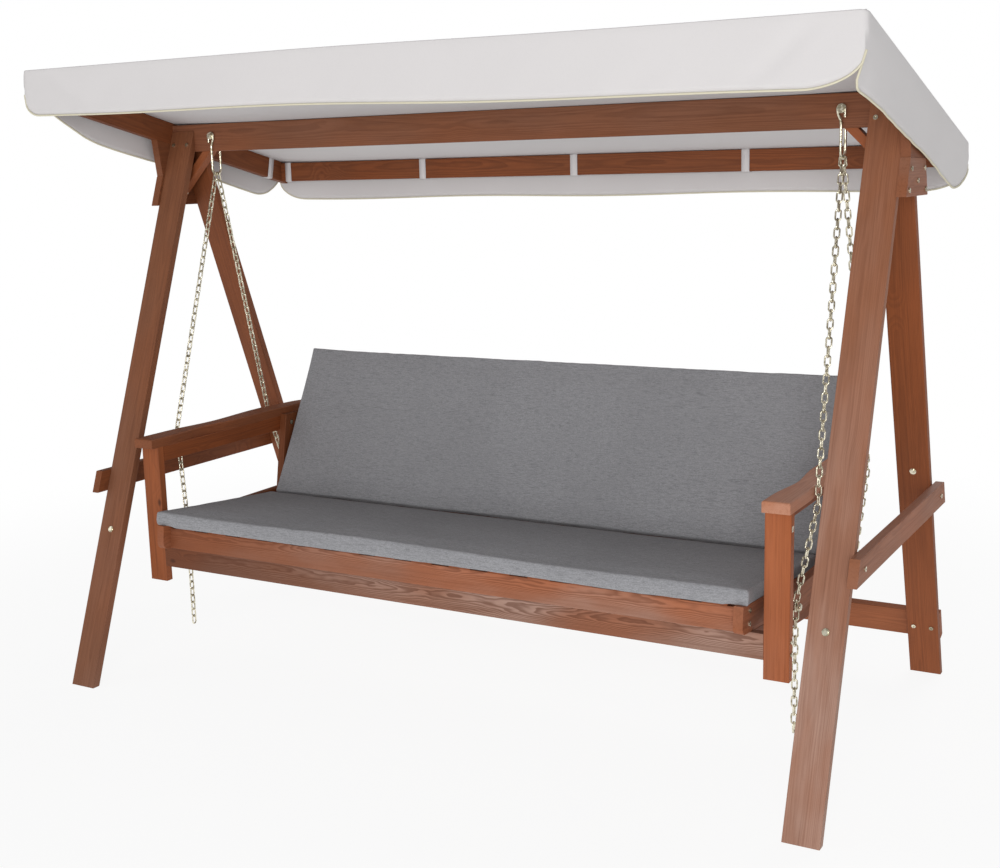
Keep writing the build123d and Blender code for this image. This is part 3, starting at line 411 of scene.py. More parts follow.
def woven_cloth(name, colour, pitch=0.0011):
    """Plain-woven canopy cloth, its threads lying along X and Y and down the valances."""
    shader = Shader(name)
    x, y, z = shader.parts(shader.place())
    wave = 2 * math.pi / pitch
    weave = (x * wave).sine() * ((y + z) * wave).sine()
    cloud = shader.noise(shader.place(), 2.2, 3.0, 0.5)
    thread = shader.noise(shader.place(), 260.0, 2.0, 0.6)
    tint = shader.mix(cloud.ramp(0.35, 0.70) * 0.16, colour, [c * 0.90 for c in colour])
    tint = shader.mix(thread.ramp(0.45, 0.75) * 0.10, tint, [c * 0.86 for c in colour])
    return shader.finish(tint, 0.85, weave * 0.5 + thread * 0.5, 0.0004, 0.25, Specular_IOR_Level=0.3)


def melange_cover(name, along, across):
    """Grey cushion cover: pale and dark yarns mixed, with short slubs along the cushion."""
    cushions = bpy.context.scene.swing_cushions
    shader = Shader(name)
    turn = Matrix((along, across, along.cross(across))).to_euler()
    place = shader.turned(shader.place(), turn)
    slub = shader.grain(place, (210.0, 900.0, 900.0), 3.0, 0.65)
    cross = shader.grain(place, (900.0, 330.0, 330.0), 2.0, 0.6)
    streak = shader.grain(place, (38.0, 400.0, 400.0), 2.0, 0.5)
    cloud = shader.noise(place, 3.5, 2.0, 0.5)
    tone = slub * 0.42 + cross * 0.22 + streak * 0.36
    colour = shader.mix(tone.ramp(0.38, 0.60), tuple(cushions.dark), tuple(cushions.light))
    colour = shader.mix(streak.ramp(0.56, 0.70) * 0.55, colour, [c * 0.62 for c in cushions.dark])
    colour = shader.mix(cloud.ramp(0.35, 0.70) * 0.12, colour, [c * 0.84 for c in cushions.dark])
    return shader.finish(colour, 0.95, tone, 0.0005, 0.16, Specular_IOR_Level=0.2)


def placed(name, mesh, material, smooth=True):
    """A finished mesh as an object at the origin, its place in its vertices."""
    mesh.materials.clear()
    mesh.materials.append(material)
    if smooth:
        mesh.shade_smooth()
    piece = bpy.data.objects.new(name, mesh)
    bpy.context.scene.collection.objects.link(piece)
    return piece


def new_piece(name, bm, material, smooth=True):
    """A bmesh as an object; the bmesh is freed."""
    mesh = bpy.data.meshes.new(name)
    bm.to_mesh(mesh)
    bm.free()
    return placed(name, mesh, material, smooth)


def cord_of(name, lines, radius, material):
    """Round cord along open lines of points, as one mesh at the origin."""
    curve = bpy.data.curves.new(name, "CURVE")
    curve.dimensions = "3D"
    curve.bevel_depth = radius
    curve.bevel_resolution = 2
    curve.use_fill_caps = True
    for points in lines:
        spline = curve.splines.new("POLY")
        spline.points.add(len(points) - 1)
        for point, where in zip(spline.points, points):
            point.co = (*where, 1.0)
    holder = bpy.data.objects.new(name + "_line", curve)
    bpy.context.scene.collection.objects.link(holder)
    mesh = bpy.data.meshes.new_from_object(holder.evaluated_get(bpy.context.evaluated_depsgraph_get()))
    bpy.data.objects.remove(holder)
    bpy.data.curves.remove(curve)
    mesh.name = name
    return placed(name, mesh, material)


def joined_mesh(bm, other):
    """Adds one bmesh to another, and frees the other."""
    spare = bpy.data.meshes.new("spare")
    other.to_mesh(spare)
    other.free()
    bm.from_mesh(spare)
    bpy.data.meshes.remove(spare)


def dress(node, material):
    """Gives a CAD node one material."""
    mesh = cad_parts[node].data
    mesh.materials.clear()
    mesh.materials.append(material)


# Ways that boards lie and faces look
LEG_SLOPE = math.radians(LEG_LEAN)
POST_SLOPE = math.radians(REAR_POST_LEAN)
SEAT_SLOPE = math.radians(SEAT_FALL)
BACK_SLOPE = math.radians(BACK_LEAN)
ROOF_SLOPE = math.radians(ROOF_FALL)
ACROSS = (1, 0, 0)
UP = (0, 0, 1)
TO_FRONT = (0, -1, 0)
TO_REAR = (0, 1, 0)
FRONT_LEG_WAY = (0, math.sin(LEG_SLOPE), math.cos(LEG_SLOPE))
FRONT_LEG_FACE = (0, -math.cos(LEG_SLOPE), math.sin(LEG_SLOPE))
REAR_LEG_WAY = (0, -math.sin(LEG_SLOPE), math.cos(LEG_SLOPE))
REAR_LEG_FACE = (0, math.cos(LEG_SLOPE), math.sin(LEG_SLOPE))
SEAT_WAY = (0, math.cos(SEAT_SLOPE), -math.sin(SEAT_SLOPE))
SEAT_FACE = (0, math.sin(SEAT_SLOPE), math.cos(SEAT_SLOPE))
BACK_WAY = (0, math.sin(BACK_SLOPE), math.cos(BACK_SLOPE))
BACK_FACE = (0, -math.cos(BACK_SLOPE), math.sin(BACK_SLOPE))
ROOF_WAY = (0, math.cos(ROOF_SLOPE), -math.sin(ROOF_SLOPE))
POST_WAY = (0, math.sin(POST_SLOPE), math.cos(POST_SLOPE))
SLAT_PITCH = 2 * SLATS_HALF / SLAT_COUNT

# Boards: node, way the grain runs, way the wide face looks, share of orange stain, tone, veil (painted
# sheen), contrast. The tone is partly the board's own and partly painted light and shade: the right-hand
# board of each pair, nearer the light, gets a higher tone and more veil than the left, and the front rails
# and right front leg get the most veil
BOARDS = [
    ("leg_front_left", FRONT_LEG_WAY, FRONT_LEG_FACE, 0.0, 0.89, 0.14, 0.16),
    ("leg_front_right", FRONT_LEG_WAY, FRONT_LEG_FACE, 0.05, 1.11, 0.50, 0.12),
    ("leg_rear_left", REAR_LEG_WAY, REAR_LEG_FACE, 0.40, 0.72, 0.02, 0.16),
    ("leg_rear_right", REAR_LEG_WAY, REAR_LEG_FACE, 0.45, 0.80, 0.02, 0.16),
    ("ridge_beam", ACROSS, TO_FRONT, 0.08, 0.83, 0.12, 0.20),
    ("rear_stretcher", ACROSS, REAR_LEG_FACE, 0.35, 1.10, 0.05, 0.22),
    ("side_brace_left", TO_REAR, ACROSS, 0.30, 0.78, 0.03, 0.20),
    ("side_brace_right", TO_REAR, ACROSS, 0.10, 1.15, 0.15, 0.22),
    ("gusset_left", TO_REAR, ACROSS, 0.20, 0.80, 0.04, 0.20),
    ("gusset_right", TO_REAR, ACROSS, 0.10, 1.00, 0.18, 0.20),
    ("apex_block_left", TO_REAR, ACROSS, 0.20, 0.72, 0.04, 0.20),
    ("apex_block_right", TO_REAR, ACROSS, 0.20, 0.80, 0.06, 0.20),
    ("knee_strut_left", (1, 0, 1), TO_REAR, 0.45, 0.95, 0.04, 0.18),
    ("knee_strut_right", (1, 0, -1), TO_REAR, 0.45, 1.05, 0.04, 0.18),
    ("roof_side_rail_left", ROOF_WAY, ACROSS, 0.30, 0.72, 0.02, 0.22),
    ("roof_side_rail_right", ROOF_WAY, ACROSS, 0.30, 0.72, 0.02, 0.22),
    ("roof_front_rail", ACROSS, TO_FRONT, 0.30, 0.75, 0.02, 0.22),
    ("roof_rear_rail", ACROSS, TO_FRONT, 0.35, 0.78, 0.02, 0.28),
    ("front_post_left", UP, TO_FRONT, 0.55, 0.88, 0.04, 0.12),
    ("front_post_right", UP, TO_FRONT, 0.62, 1.10, 0.12, 0.12),
    ("rear_post_left", POST_WAY, ACROSS, 0.35, 0.62, 0.02, 0.16),
    ("rear_post_right", POST_WAY, ACROSS, 0.45, 0.85, 0.02, 0.16),
    ("armrest_left", TO_REAR, UP, 0.30, 0.80, 0.05, 0.18),
    ("armrest_right", TO_REAR, UP, 0.05, 1.66, 0.28, 0.18),
    ("arm_rail_left", TO_REAR, ACROSS, 0.70, 0.70, 0.01, 0.18),
    ("arm_rail_right", TO_REAR, ACROSS, 0.70, 0.80, 0.02, 0.18),
    ("side_rail_left", TO_REAR, ACROSS, 0.30, 0.75, 0.04, 0.25),
    ("side_rail_right", TO_REAR, ACROSS, 0.30, 0.90, 0.05, 0.25),
    ("bench_front_rail", ACROSS, TO_FRONT, 0.0, 0.98, 0.80, 0.50),
    ("bench_rear_rail", ACROSS, TO_FRONT, 0.20, 0.80, 0.06, 0.30),
    ("bench_back_rail", ACROSS, TO_FRONT, 0.20, 0.85, 0.06, 0.30),
    ("seat_runners", SEAT_WAY, ACROSS, 0.30, 0.85, 0.04, 0.25),
    ("seat_side_left", SEAT_WAY, ACROSS, 0.50, 0.95, 0.14, 0.22),
    ("seat_side_right", SEAT_WAY, ACROSS, 0.50, 1.00, 0.14, 0.22),
    ("seat_front_rail", ACROSS, TO_FRONT, 0.35, 1.10, 0.55, 0.45),
    ("seat_rear_rail", ACROSS, TO_FRONT, 0.30, 0.85, 0.04, 0.30),
    ("seat_slats", SEAT_WAY, SEAT_FACE, 0.40, 0.90, 0.04, 0.25),
    ("back_stiles", BACK_WAY, BACK_FACE, 0.35, 0.85, 0.04, 0.25),
    ("back_rails", ACROSS, BACK_FACE, 0.35, 0.85, 0.04, 0.28),
    ("back_slats", BACK_WAY, BACK_FACE, 0.40, 0.90, 0.04, 0.25),
]

# Share of dark stain at the left end of the two front rails
DARKENED = {"bench_front_rail": 0.70, "seat_front_rail": 0.475}

# How the names of metal nodes start or end
METAL_STARTS = ("chain_", "hanger_")
METAL_ENDS = ("screws", "bolts", "leaves")


class SWING_OT_timber(bpy.types.Operator):
    """Stain every board, the grain running along it"""

    bl_idname = "swing.timber"
    bl_label = "Stain the timber"

    def execute(self, context):
        for number, (node, along, face, *look) in enumerate(BOARDS):
            low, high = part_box(node)
            centre = (low + high) / 2
            pitch = SLAT_PITCH if node.endswith("slats") else None
            look += [pitch, DARKENED.get(node)]
            dress(node, stained_wood("wood_" + node, along, face, centre, number + 1, *look))
        return {"FINISHED"}


class SWING_OT_fittings(bpy.types.Operator):
    """Plate the chains, stirrups, bolts, screws and hinges"""

    bl_idname = "swing.fittings"
    bl_label = "Plate the fittings"

    def execute(self, context):
        zinc = plated_metal("zinc_plate")
        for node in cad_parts:
            if node.startswith(METAL_STARTS) or node.endswith(METAL_ENDS):
                dress(node, zinc)
        return {"FINISHED"}


def smooth_step(value):
    """0 below 0, 1 above 1, smooth between."""
    value = min(1.0, max(0.0, value))
    return value * value * (3 - 2 * value)


def ripple(x, y, z, seed):
    """A smooth random number, about -1 to 1, the same on every run."""
    return noise.noise(Vector((x, y, z + seed * 11.3)))


# How the canopy's cloth lies and hangs, in metres, apart from the stretch and the shares
SAME_PLACE = 1e-6
RIGHT_REAR_STRETCH = 1.4
REAR_HEM_SHARE = 0.7
HEM_WAVE = 0.003
FRONT_HEM_WAVE = 0.0025
ROOF_EDGE = 1.235
REAR_EDGE_INSET = 0.004
BEAM_SINK = 0.0007
ROOF_UNEVEN = 0.0025
END_RUN = 0.10
LEFT_END_SHIFT = 0.010
RIGHT_END_SHIFT = 0.003
RIGHT_END_TAPER = 0.009
CORNER_DROOP = 0.004
CORNER_DROOP_RUN = 0.014
PUFF_RUN = 0.16
PUFF_START_SHARE = -0.25
PUFF_FADE_SHARE = 0.55
CORNER_RUN = 0.22
LONG_WAVE = 0.0055
SHORT_WAVE = 0.0022
CREASE = 0.0036
HANG_OUT = 0.004
END_OUT_LIMIT = 0.006
FOLD_DEPTH = 0.005
FOLD_WIDTH = 0.030
FOLD_PLACE = 0.10
FOLD_SLANT = 0.16
SWING_BELOW = 0.045
SWING_HEIGHT = 0.12
SWING_RUN = 0.20
RIGHT_TUCK = 0.010
LEFT_BULGE = 0.004


def rounded(distance, run, joined, full, power=1.0):
    """Height of a hem at a distance from a corner: a curve from the joined height to the full one."""
    if distance >= run:
        return full
    return joined + (full - joined) * math.sqrt(max(0.0, 1 - (1 - distance / run) ** 2)) ** power


def canopy_drop(canopy, x, y):
    """Height of the valance at a place on the canopy's edge: it shortens in a curve towards each corner."""
    drops = []
    rear_run = canopy.rear_run * (RIGHT_REAR_STRETCH if x > 0 else 1.0)
    if abs(abs(x) - CLOTH_HALF) < SAME_PLACE:
        if x > 0:
            full = canopy.side_drop - HEM_WAVE * (1 + math.sin(9.0 * y + 1))
            drops.append(rounded(y + CLOTH_REACH, canopy.side_run, canopy.corner, full))
        else:
            full = canopy.left_side_drop - HEM_WAVE * (1 + math.sin(9.0 * y))
            share = smooth_step((y + CLOTH_REACH) / canopy.left_side_run)
            drops.append(canopy.left_corner + (full - canopy.left_corner) * share)
        drops.append(rounded(CLOTH_REACH - y, rear_run, canopy.rear_corner, full, 1.7))
    if abs(y + CLOTH_REACH) < SAME_PLACE:
        share = (x / CLOTH_HALF + 1) / 2
        full = canopy.left_drop + (canopy.front_drop - canopy.left_drop) * share
        full += FRONT_HEM_WAVE * math.sin(5.0 * x)
        run, joined = (canopy.corner_run, canopy.corner) if x > 0 else (canopy.left_run, canopy.left_corner)
        drops.append(rounded(CLOTH_HALF - abs(x), run, joined, full))
    if abs(y - CLOTH_REACH) < SAME_PLACE:
        full = canopy.rear_drop + HEM_WAVE * math.sin(6.0 * x + 1.0)
        drops.append(rounded(CLOTH_HALF - abs(x), rear_run * REAR_HEM_SHARE, canopy.rear_corner, full))
    return min(drops)


def in_plan(canopy, x, y):
    """A place on the roof with the four corners rounded in plan."""
    radius = canopy.rear_round if y > 0 else canopy.front_round
    a = abs(x) - (CLOTH_HALF - radius)
    b = abs(y) - (CLOTH_REACH - radius)
    if a <= 0 or b <= 0:
        return x, y
    share = max(a, b) / math.hypot(a, b)
    return (
        math.copysign(CLOTH_HALF - radius + a * share, x),
        math.copysign(CLOTH_REACH - radius + b * share, y),
    )


def roof_sag(canopy, x, y):
    """Depth of the cloth under a straight roof.

    The cloth lies on the beam and the rear rail, hollows between them and is taut over the side rails.
    """
    rest = CROSS_RAIL_PLACE - RAIL_THICKNESS / 2
    share = min(1.0, max(0.0, (abs(y) - BEAM_HALF) / (rest - BEAM_HALF)))
    if y < BEAM_HALF:
        level = min(BEAM_HALF - y, 2 * BEAM_HALF) * (1 - share)
    else:
        level = min(RAIL_THICKNESS * share, max(0.0, rest + RAIL_THICKNESS - REAR_EDGE_INSET - y))
    spacing = STRAP_PLACES[1] - STRAP_PLACES[0]
    loops_apart = math.sin(math.pi * (x - STRAP_PLACES[0]) / spacing) ** 2
    bow = math.sin(math.pi * share)
    hollow = bow ** 0.8 * (0.62 + 0.38 * loops_apart * share) if bow > 0 else 0.0
    uneven = ROOF_UNEVEN * ripple(x * 2.5, y * 3.5, 0, 1) * bow
    held = min(1.0, abs(x) / ROOF_EDGE) ** 10
    depth = canopy.sag * hollow + uneven + level * math.tan(ROOF_SLOPE) + BEAM_SINK * (1 - share)
    return depth * (1 - held)


def roof_place(canopy, x, y):
    """Where a point of the roof lies: the ends reach past the frame and the front edge puffs up."""
    height = ROOF_HEIGHT - y * math.tan(ROOF_SLOPE) + ROOF_LIFT
    point = Vector((*in_plan(canopy, x, y), height - roof_sag(canopy, x, y)))
    to_end = CLOTH_HALF - abs(x)
    to_long = CLOTH_REACH - abs(y)
    at_end = 1 - smooth_step(to_end / END_RUN)
    if x > 0:
        point.z -= CORNER_DROOP * (1 - smooth_step(math.hypot(to_end, to_long) / CORNER_DROOP_RUN))
        point.x += (RIGHT_END_SHIFT - RIGHT_END_TAPER * y / CLOTH_REACH) * at_end
    else:
        point.x -= LEFT_END_SHIFT * at_end
    if y < 0:
        past = max(0.0, x / CLOTH_HALF - PUFF_START_SHARE) / PUFF_FADE_SHARE
        point.z += canopy.puff * math.exp(-(past ** 2)) * (1 - smooth_step(to_long / PUFF_RUN))
    return point


def canopy_place(canopy, x, y, down):
    """Where a point of the cloth hangs: down is 0 on the roof and 1 at the hem."""
    point = roof_place(canopy, x, y)
    if down == 0:
        return point
    to_end = CLOTH_HALF - abs(x)
    to_long = CLOTH_REACH - abs(y)
    hanging = canopy_drop(canopy, x, y) * down
    point.z -= hanging
    corner = 1 - smooth_step((to_end + to_long) / CORNER_RUN)
    wave = LONG_WAVE * ripple(x * 2.2, y * 3.0, 0, 3) + SHORT_WAVE * ripple(x * 7.0, y * 9.0, 0, 4)
    crease = CREASE * abs(ripple(x * 11.0 + down * 1.6, y * 15.0, down * 0.4, 5)) ** 0.6
    out = (wave * (1 - 0.5 * corner) - crease + HANG_OUT) * down
    if to_long < SAME_PLACE:
        point.y += out * math.copysign(1.0, y)
        # a soft slanting fold beside each front corner
        if y < 0:
            fold = math.exp(-(((to_end - FOLD_PLACE - FOLD_SLANT * down) / FOLD_WIDTH) ** 2))
            point.y += FOLD_DEPTH * fold * math.sin(math.pi * down)
    if to_end < SAME_PLACE:
        inward = 0.0
        if x < 0:
            inward = -LEFT_BULGE * math.sin(math.pi * down)
        elif to_long >= SAME_PLACE:
            below = max(0.0, hanging - SWING_BELOW) / SWING_HEIGHT
            inward = canopy.swing * (1 - smooth_step((y + CLOTH_REACH) / SWING_RUN)) * min(1.0, below)
            inward += RIGHT_TUCK * below
        point.x += (min(out, END_OUT_LIMIT) - inward) * math.copysign(1.0, x)
    return point


def spaced(half, steps, middle):
    """Places from -half to half, closer together near the ends, where the corners curve."""
    ends = [half]
    for step in steps:
        ends.append(ends[-1] - step)
    inner = ends[-1]
    row = [-inner + 2 * inner * step / middle for step in range(1, middle)]
    return sorted([-place for place in ends] + row + ends)


# Lattice of the canopy: steps at its corners, squares between them, rows down a valance, and the
# distance of a line from an edge of the frame
CORNER_STEPS = (0.009, 0.009, 0.010, 0.010, 0.011, 0.012, 0.013, 0.014, 0.015, 0.016, 0.017)
SQUARES_ACROSS = 110
SQUARES_ALONG = 48
ROW_SHARES = (0.11, 0.2, 0.3, 0.4, 0.5, 0.6, 0.7, 0.8, 0.9, 1.0)
EDGE_GAP = 0.001

# The canopy's piping and webbing, and the angle from which an edge is sharp
PIPING_RADIUS = 0.0028
PIPING_WEAVE = 0.0016
WEBBING = 0.0012
WEBBING_SLACK = 0.0014
WEBBING_BEND = 0.003
SHARP_EDGE = math.radians(50)


def soften(piece, name, width, segments):
    """Bevels the sharp edges of a mesh with a modifier."""
    bevel = piece.modifiers.new(name, "BEVEL")
    bevel.width = width
    bevel.segments = segments
    bevel.limit_method = "ANGLE"
    bevel.angle_limit = SHARP_EDGE


class SWING_OT_canopy(bpy.types.Operator):
    """Make the cloth canopy with its valances, piping and loops"""

    bl_idname = "swing.canopy"
    bl_label = "Make the canopy"

    def execute(self, context):
        canopy = context.scene.swing_canopy
        xs = spaced(CLOTH_HALF, CORNER_STEPS, SQUARES_ACROSS)
        ys = spaced(CLOTH_REACH, CORNER_STEPS, SQUARES_ALONG)
        # lines of the lattice lie just beside the edges that the cloth bends over
        beam_edge = BEAM_HALF + EDGE_GAP
        for stop in (-beam_edge, beam_edge, CROSS_RAIL_PLACE - RAIL_THICKNESS / 2 - EDGE_GAP):
            ys[min(range(len(ys)), key=lambda number: abs(ys[number] - stop))] = stop
        bm = bmesh.new()
        down = bm.verts.layers.float.new("down")
        across = bm.verts.layers.float.new("across")
        along = bm.verts.layers.float.new("along")
        bmesh.ops.create_grid(bm, x_segments=len(xs) - 1, y_segments=len(ys) - 1, size=1)
        for vert in bm.verts:
            vert[across] = xs[round((vert.co.x + 1) / 2 * (len(xs) - 1))]
            vert[along] = ys[round((vert.co.y + 1) / 2 * (len(ys) - 1))]
        edges = [edge for edge in bm.edges if edge.is_boundary]
        for row in ROW_SHARES:
            made = bmesh.ops.extrude_edge_only(bm, edges=edges)["geom"]
            for vert in made:
                if isinstance(vert, bmesh.types.BMVert):
                    vert[down] = row
            edges = [edge for edge in made if isinstance(edge, bmesh.types.BMEdge) and edge.is_boundary]
            edges = [edge for edge in edges if all(abs(vert[down] - row) < SAME_PLACE for vert in edge.verts)]
        for vert in bm.verts:
            vert.co = canopy_place(canopy, vert[across], vert[along], vert[down])
        bmesh.ops.recalc_face_normals(bm, faces=bm.faces)
        if max(bm.faces, key=lambda face: face.calc_area()).normal.z < 0:
            bmesh.ops.reverse_faces(bm, faces=bm.faces)
        area = sum(face.calc_area() for face in bm.faces)
        cloth = woven_cloth("canopy_cloth", tuple(canopy.cloth))
        piece = new_piece("canopy_cover", bm, cloth)
        soften(piece, "Rounded fold", canopy.fold, 4)
        shell = piece.modifiers.new("Cloth thickness", "SOLIDIFY")
        shell.thickness = canopy.thickness
        shell.offset = -1

        binding = woven_cloth("canopy_binding", tuple(canopy.piping), PIPING_WEAVE)
        hems = []
        for edge in (-1, 1):
            hems.append([canopy_place(canopy, x, edge * CLOTH_REACH, 1.0) for x in xs])
            hems.append([canopy_place(canopy, edge * CLOTH_HALF, y, 1.0) for y in ys])
        piping = cord_of("canopy_piping", hems, PIPING_RADIUS, binding)

        loops = self.loops(cloth)
        for part in (piece, piping, loops):
            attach(part, "frame")
        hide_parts("canopy")
        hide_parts("canopy_straps")
        return {"FINISHED"}

    def loops(self, cloth):
        """Flat loops of cloth sewn under the canopy, each round a roof rail."""
        bm = bmesh.new()
        middles = []
        upright = Vector(UP)
        square = Vector((0, math.sin(ROOF_SLOPE), math.cos(ROOF_SLOPE)))
        for way in (-1, 1):
            y = way * CROSS_RAIL_PLACE
            rail_top = ROOF_HEIGHT - (y + RAIL_THICKNESS / 2) * math.tan(ROOF_SLOPE)
            for x in STRAP_PLACES:
                place = Vector((x, y, rail_top - CROSS_RAIL_HEIGHT / 2))
                middles.append((place, Vector(TO_REAR), upright, CROSS_RAIL_HEIGHT))
            y = way * SIDE_STRAP_PLACE * math.cos(ROOF_SLOPE)
            for side in (-1, 1):
                place = Vector((side * SIDE_RAIL_PLACE, y, ROOF_HEIGHT - y * math.tan(ROOF_SLOPE)))
                place -= SIDE_RAIL_HEIGHT / 2 * square
                middles.append((place, Vector(ACROSS), square, SIDE_RAIL_HEIGHT))
        for place, thick_way, high_way, rail_height in middles:
            loop = bmesh.new()
            bmesh.ops.create_grid(loop, x_segments=1, y_segments=1, size=0.5)
            size = (RAIL_THICKNESS + WEBBING_SLACK, rail_height + WEBBING_SLACK, 1)
            bmesh.ops.scale(loop, vec=size, verts=loop.verts)
            corners = {"geom": loop.verts[:], "affect": "VERTICES", "material": -1}
            bmesh.ops.bevel(loop, **corners, offset=WEBBING_BEND, segments=3, profile=0.5)
            bmesh.ops.delete(loop, geom=loop.faces[:], context="FACES_ONLY")
            out = bmesh.ops.extrude_edge_only(loop, edges=loop.edges[:])["geom"]
            rim = [part for part in out if isinstance(part, bmesh.types.BMVert)]
            bmesh.ops.translate(loop, vec=(0, 0, LOOP_WIDTH), verts=rim)
            bmesh.ops.translate(loop, vec=(0, 0, -LOOP_WIDTH / 2), verts=loop.verts)
            bmesh.ops.recalc_face_normals(loop, faces=loop.faces)
            run_way = thick_way.cross(high_way)
            basis = Matrix((thick_way, high_way, run_way)).transposed().to_4x4()
            bmesh.ops.transform(loop, matrix=Matrix.Translation(place) @ basis, verts=loop.verts)
            joined_mesh(bm, loop)
        piece = new_piece("canopy_loops", bm, cloth)
        shell = piece.modifiers.new("Webbing thickness", "SOLIDIFY")
        shell.thickness = WEBBING
        shell.offset = 1
        return piece


# How the cushions are sewn and filled, in metres; the gathers are places across the seat cushion
LATTICE_CUTS = (270, 44, 4)
SLAT_GAP = 0.0006
SEAM_RADIUS = 0.004
BOXING_DEPTH = 0.004
BOXING_BULGE = 0.003
END_PULL = 0.004
END_PULL_RUN = 0.06
SIDE_PULL = 0.003
SIDE_PULL_RUN = 0.05
CROWN = 0.006
CROWN_RUN = 0.10
SEAM_SHARE = 0.35
BUMP_RUN = 0.08
FRONT_RUN = 0.020
DROOP_RUN = 0.25
GATHERS = (-0.78, -0.46, -0.33, -0.05, 0.02, 0.41, 0.62)
GATHER_DEPTH = 0.0035
GATHER_WIDTH = 0.006
SWELL_FRAMES = 20
RESTING_HEIGHT = 0.0015


def cushion_lattice(half, length, thickness):
    """A box of cushion size, cut into a lattice, from (-half, 0, 0) to (half, length, thickness)."""
    bm = bmesh.new()
    bmesh.ops.create_cube(bm, size=1)
    bmesh.ops.translate(bm, vec=(0, 0.5, 0.5), verts=bm.verts)
    bmesh.ops.scale(bm, vec=(2 * half, length, thickness), verts=bm.verts)
    for axis, count in enumerate(LATTICE_CUTS):
        edges = []
        for edge in bm.edges:
            way = edge.verts[1].co - edge.verts[0].co
            if abs(way[axis]) > 0.9 * way.length:
                edges.append(edge)
        bmesh.ops.subdivide_edges(bm, edges=edges, cuts=count, use_grid_fill=True)
    return bm


def cushion_shape(bm, half, length, thickness, seed, droop, low_end, high_end, left_end):
    """Gives a lattice its crown, rounded seams, uneven edges, drooping front edge and longer ends."""
    for vert in bm.verts:
        x, y, z = vert.co
        u, v, w = x / half, 2 * y / length - 1, 2 * z / thickness - 1
        to_end = half * (1 - abs(u))
        to_side = length / 2 * (1 - abs(v))
        # the edges pull in between the corners, and the boxing bulges between its seams
        x -= math.copysign(END_PULL * (1 - v ** 4) * smooth_step(1 - to_end / END_PULL_RUN), x)
        y -= math.copysign(SIDE_PULL * (1 - u ** 6) * smooth_step(1 - to_side / SIDE_PULL_RUN), v)
        y += high_end * smooth_step(v) - low_end * smooth_step(-v)
        bulge = BOXING_BULGE * (1 - w * w)
        if to_end < BOXING_DEPTH:
            x += math.copysign(bulge, x)
        if to_side < BOXING_DEPTH:
            y += math.copysign(bulge, v)
            y += 0.0020 * ripple(x * 9.0, v, w, seed) + 0.0010 * ripple(x * 31.0, v, w, seed + 1)
        if w > 0:
            edge = min(to_end, to_side)
            rise = CROWN * (smooth_step(edge / CROWN_RUN) - SEAM_SHARE)
            rise += 0.0020 * ripple(x * 2.6, y * 4.0, 0, seed + 2) * smooth_step(edge / BUMP_RUN)
            rise += 0.0008 * ripple(x * 13.0, y * 17.0, 0, seed + 3)
            z += rise * w
        # the front edge hangs over the rail between the side boards, and the top rises left of the middle
        front = 1 - smooth_step(y / FRONT_RUN)
        inside = 1 - smooth_step((abs(x) - SIDE_BOARD_PLACE + 0.03) / 0.03)
        uneven = 0.80 + 0.35 * ripple(x * 4.0, 0, 0, seed + 4)
        z -= droop * front * (1 - w) / 2 * uneven * (0.25 + 0.75 * inside)
        rise = math.cos(math.pi * (u + 0.17) / 0.66) * (1 - abs(u) ** 3)
        z += 0.4 * droop * rise * (1 + w) / 2 * (1 - smooth_step(y / DROOP_RUN))
        # short creases where the top seam gathers
        if droop:
            for place in GATHERS:
                near = math.exp(-(((x - place) / GATHER_WIDTH) ** 2)) * front
                z -= GATHER_DEPTH * near * max(0.0, w)
                y += GATHER_DEPTH * near * (1 - w * w * 0.5)
        if x < 0:
            x -= left_end * smooth_step((-u - 0.9) / 0.1)
        vert.co = (x, y, z)


def swell(piece, face, floor, pressure, cap):
    """Lets a closed pad swell under pressure as cloth, each point moving no farther than the cap.

    Points on the side that rests on the slats slide along it and don't sink below it.
    """
    scene = bpy.context.scene
    cloth = piece.modifiers.new("Swelling", "CLOTH")
    cloth.settings.use_pressure = True
    cloth.settings.uniform_pressure_force = pressure
    cloth.settings.effector_weights.gravity = 0
    cloth.point_cache.frame_start = 1
    cloth.point_cache.frame_end = SWELL_FRAMES
    for number in range(1, SWELL_FRAMES + 1):
        scene.frame_set(number)
    swollen = piece.evaluated_get(bpy.context.evaluated_depsgraph_get()).data
    moves = [new.co - old.co for new, old in zip(swollen.vertices, piece.data.vertices)]
    piece.modifiers.remove(cloth)
    scene.frame_set(1)
    if max(move.length for move in moves) < cap / 4:
        raise RuntimeError(f"{piece.name} did not swell")
    for vert, move in zip(piece.data.vertices, moves):
        if move.length > 1e-7:
            move = move * (cap * math.tanh(move.length / cap) / move.length)
        if (vert.co - floor).dot(face) < RESTING_HEIGHT and move.dot(face) < 0:
            move -= face * move.dot(face)
        vert.co += move


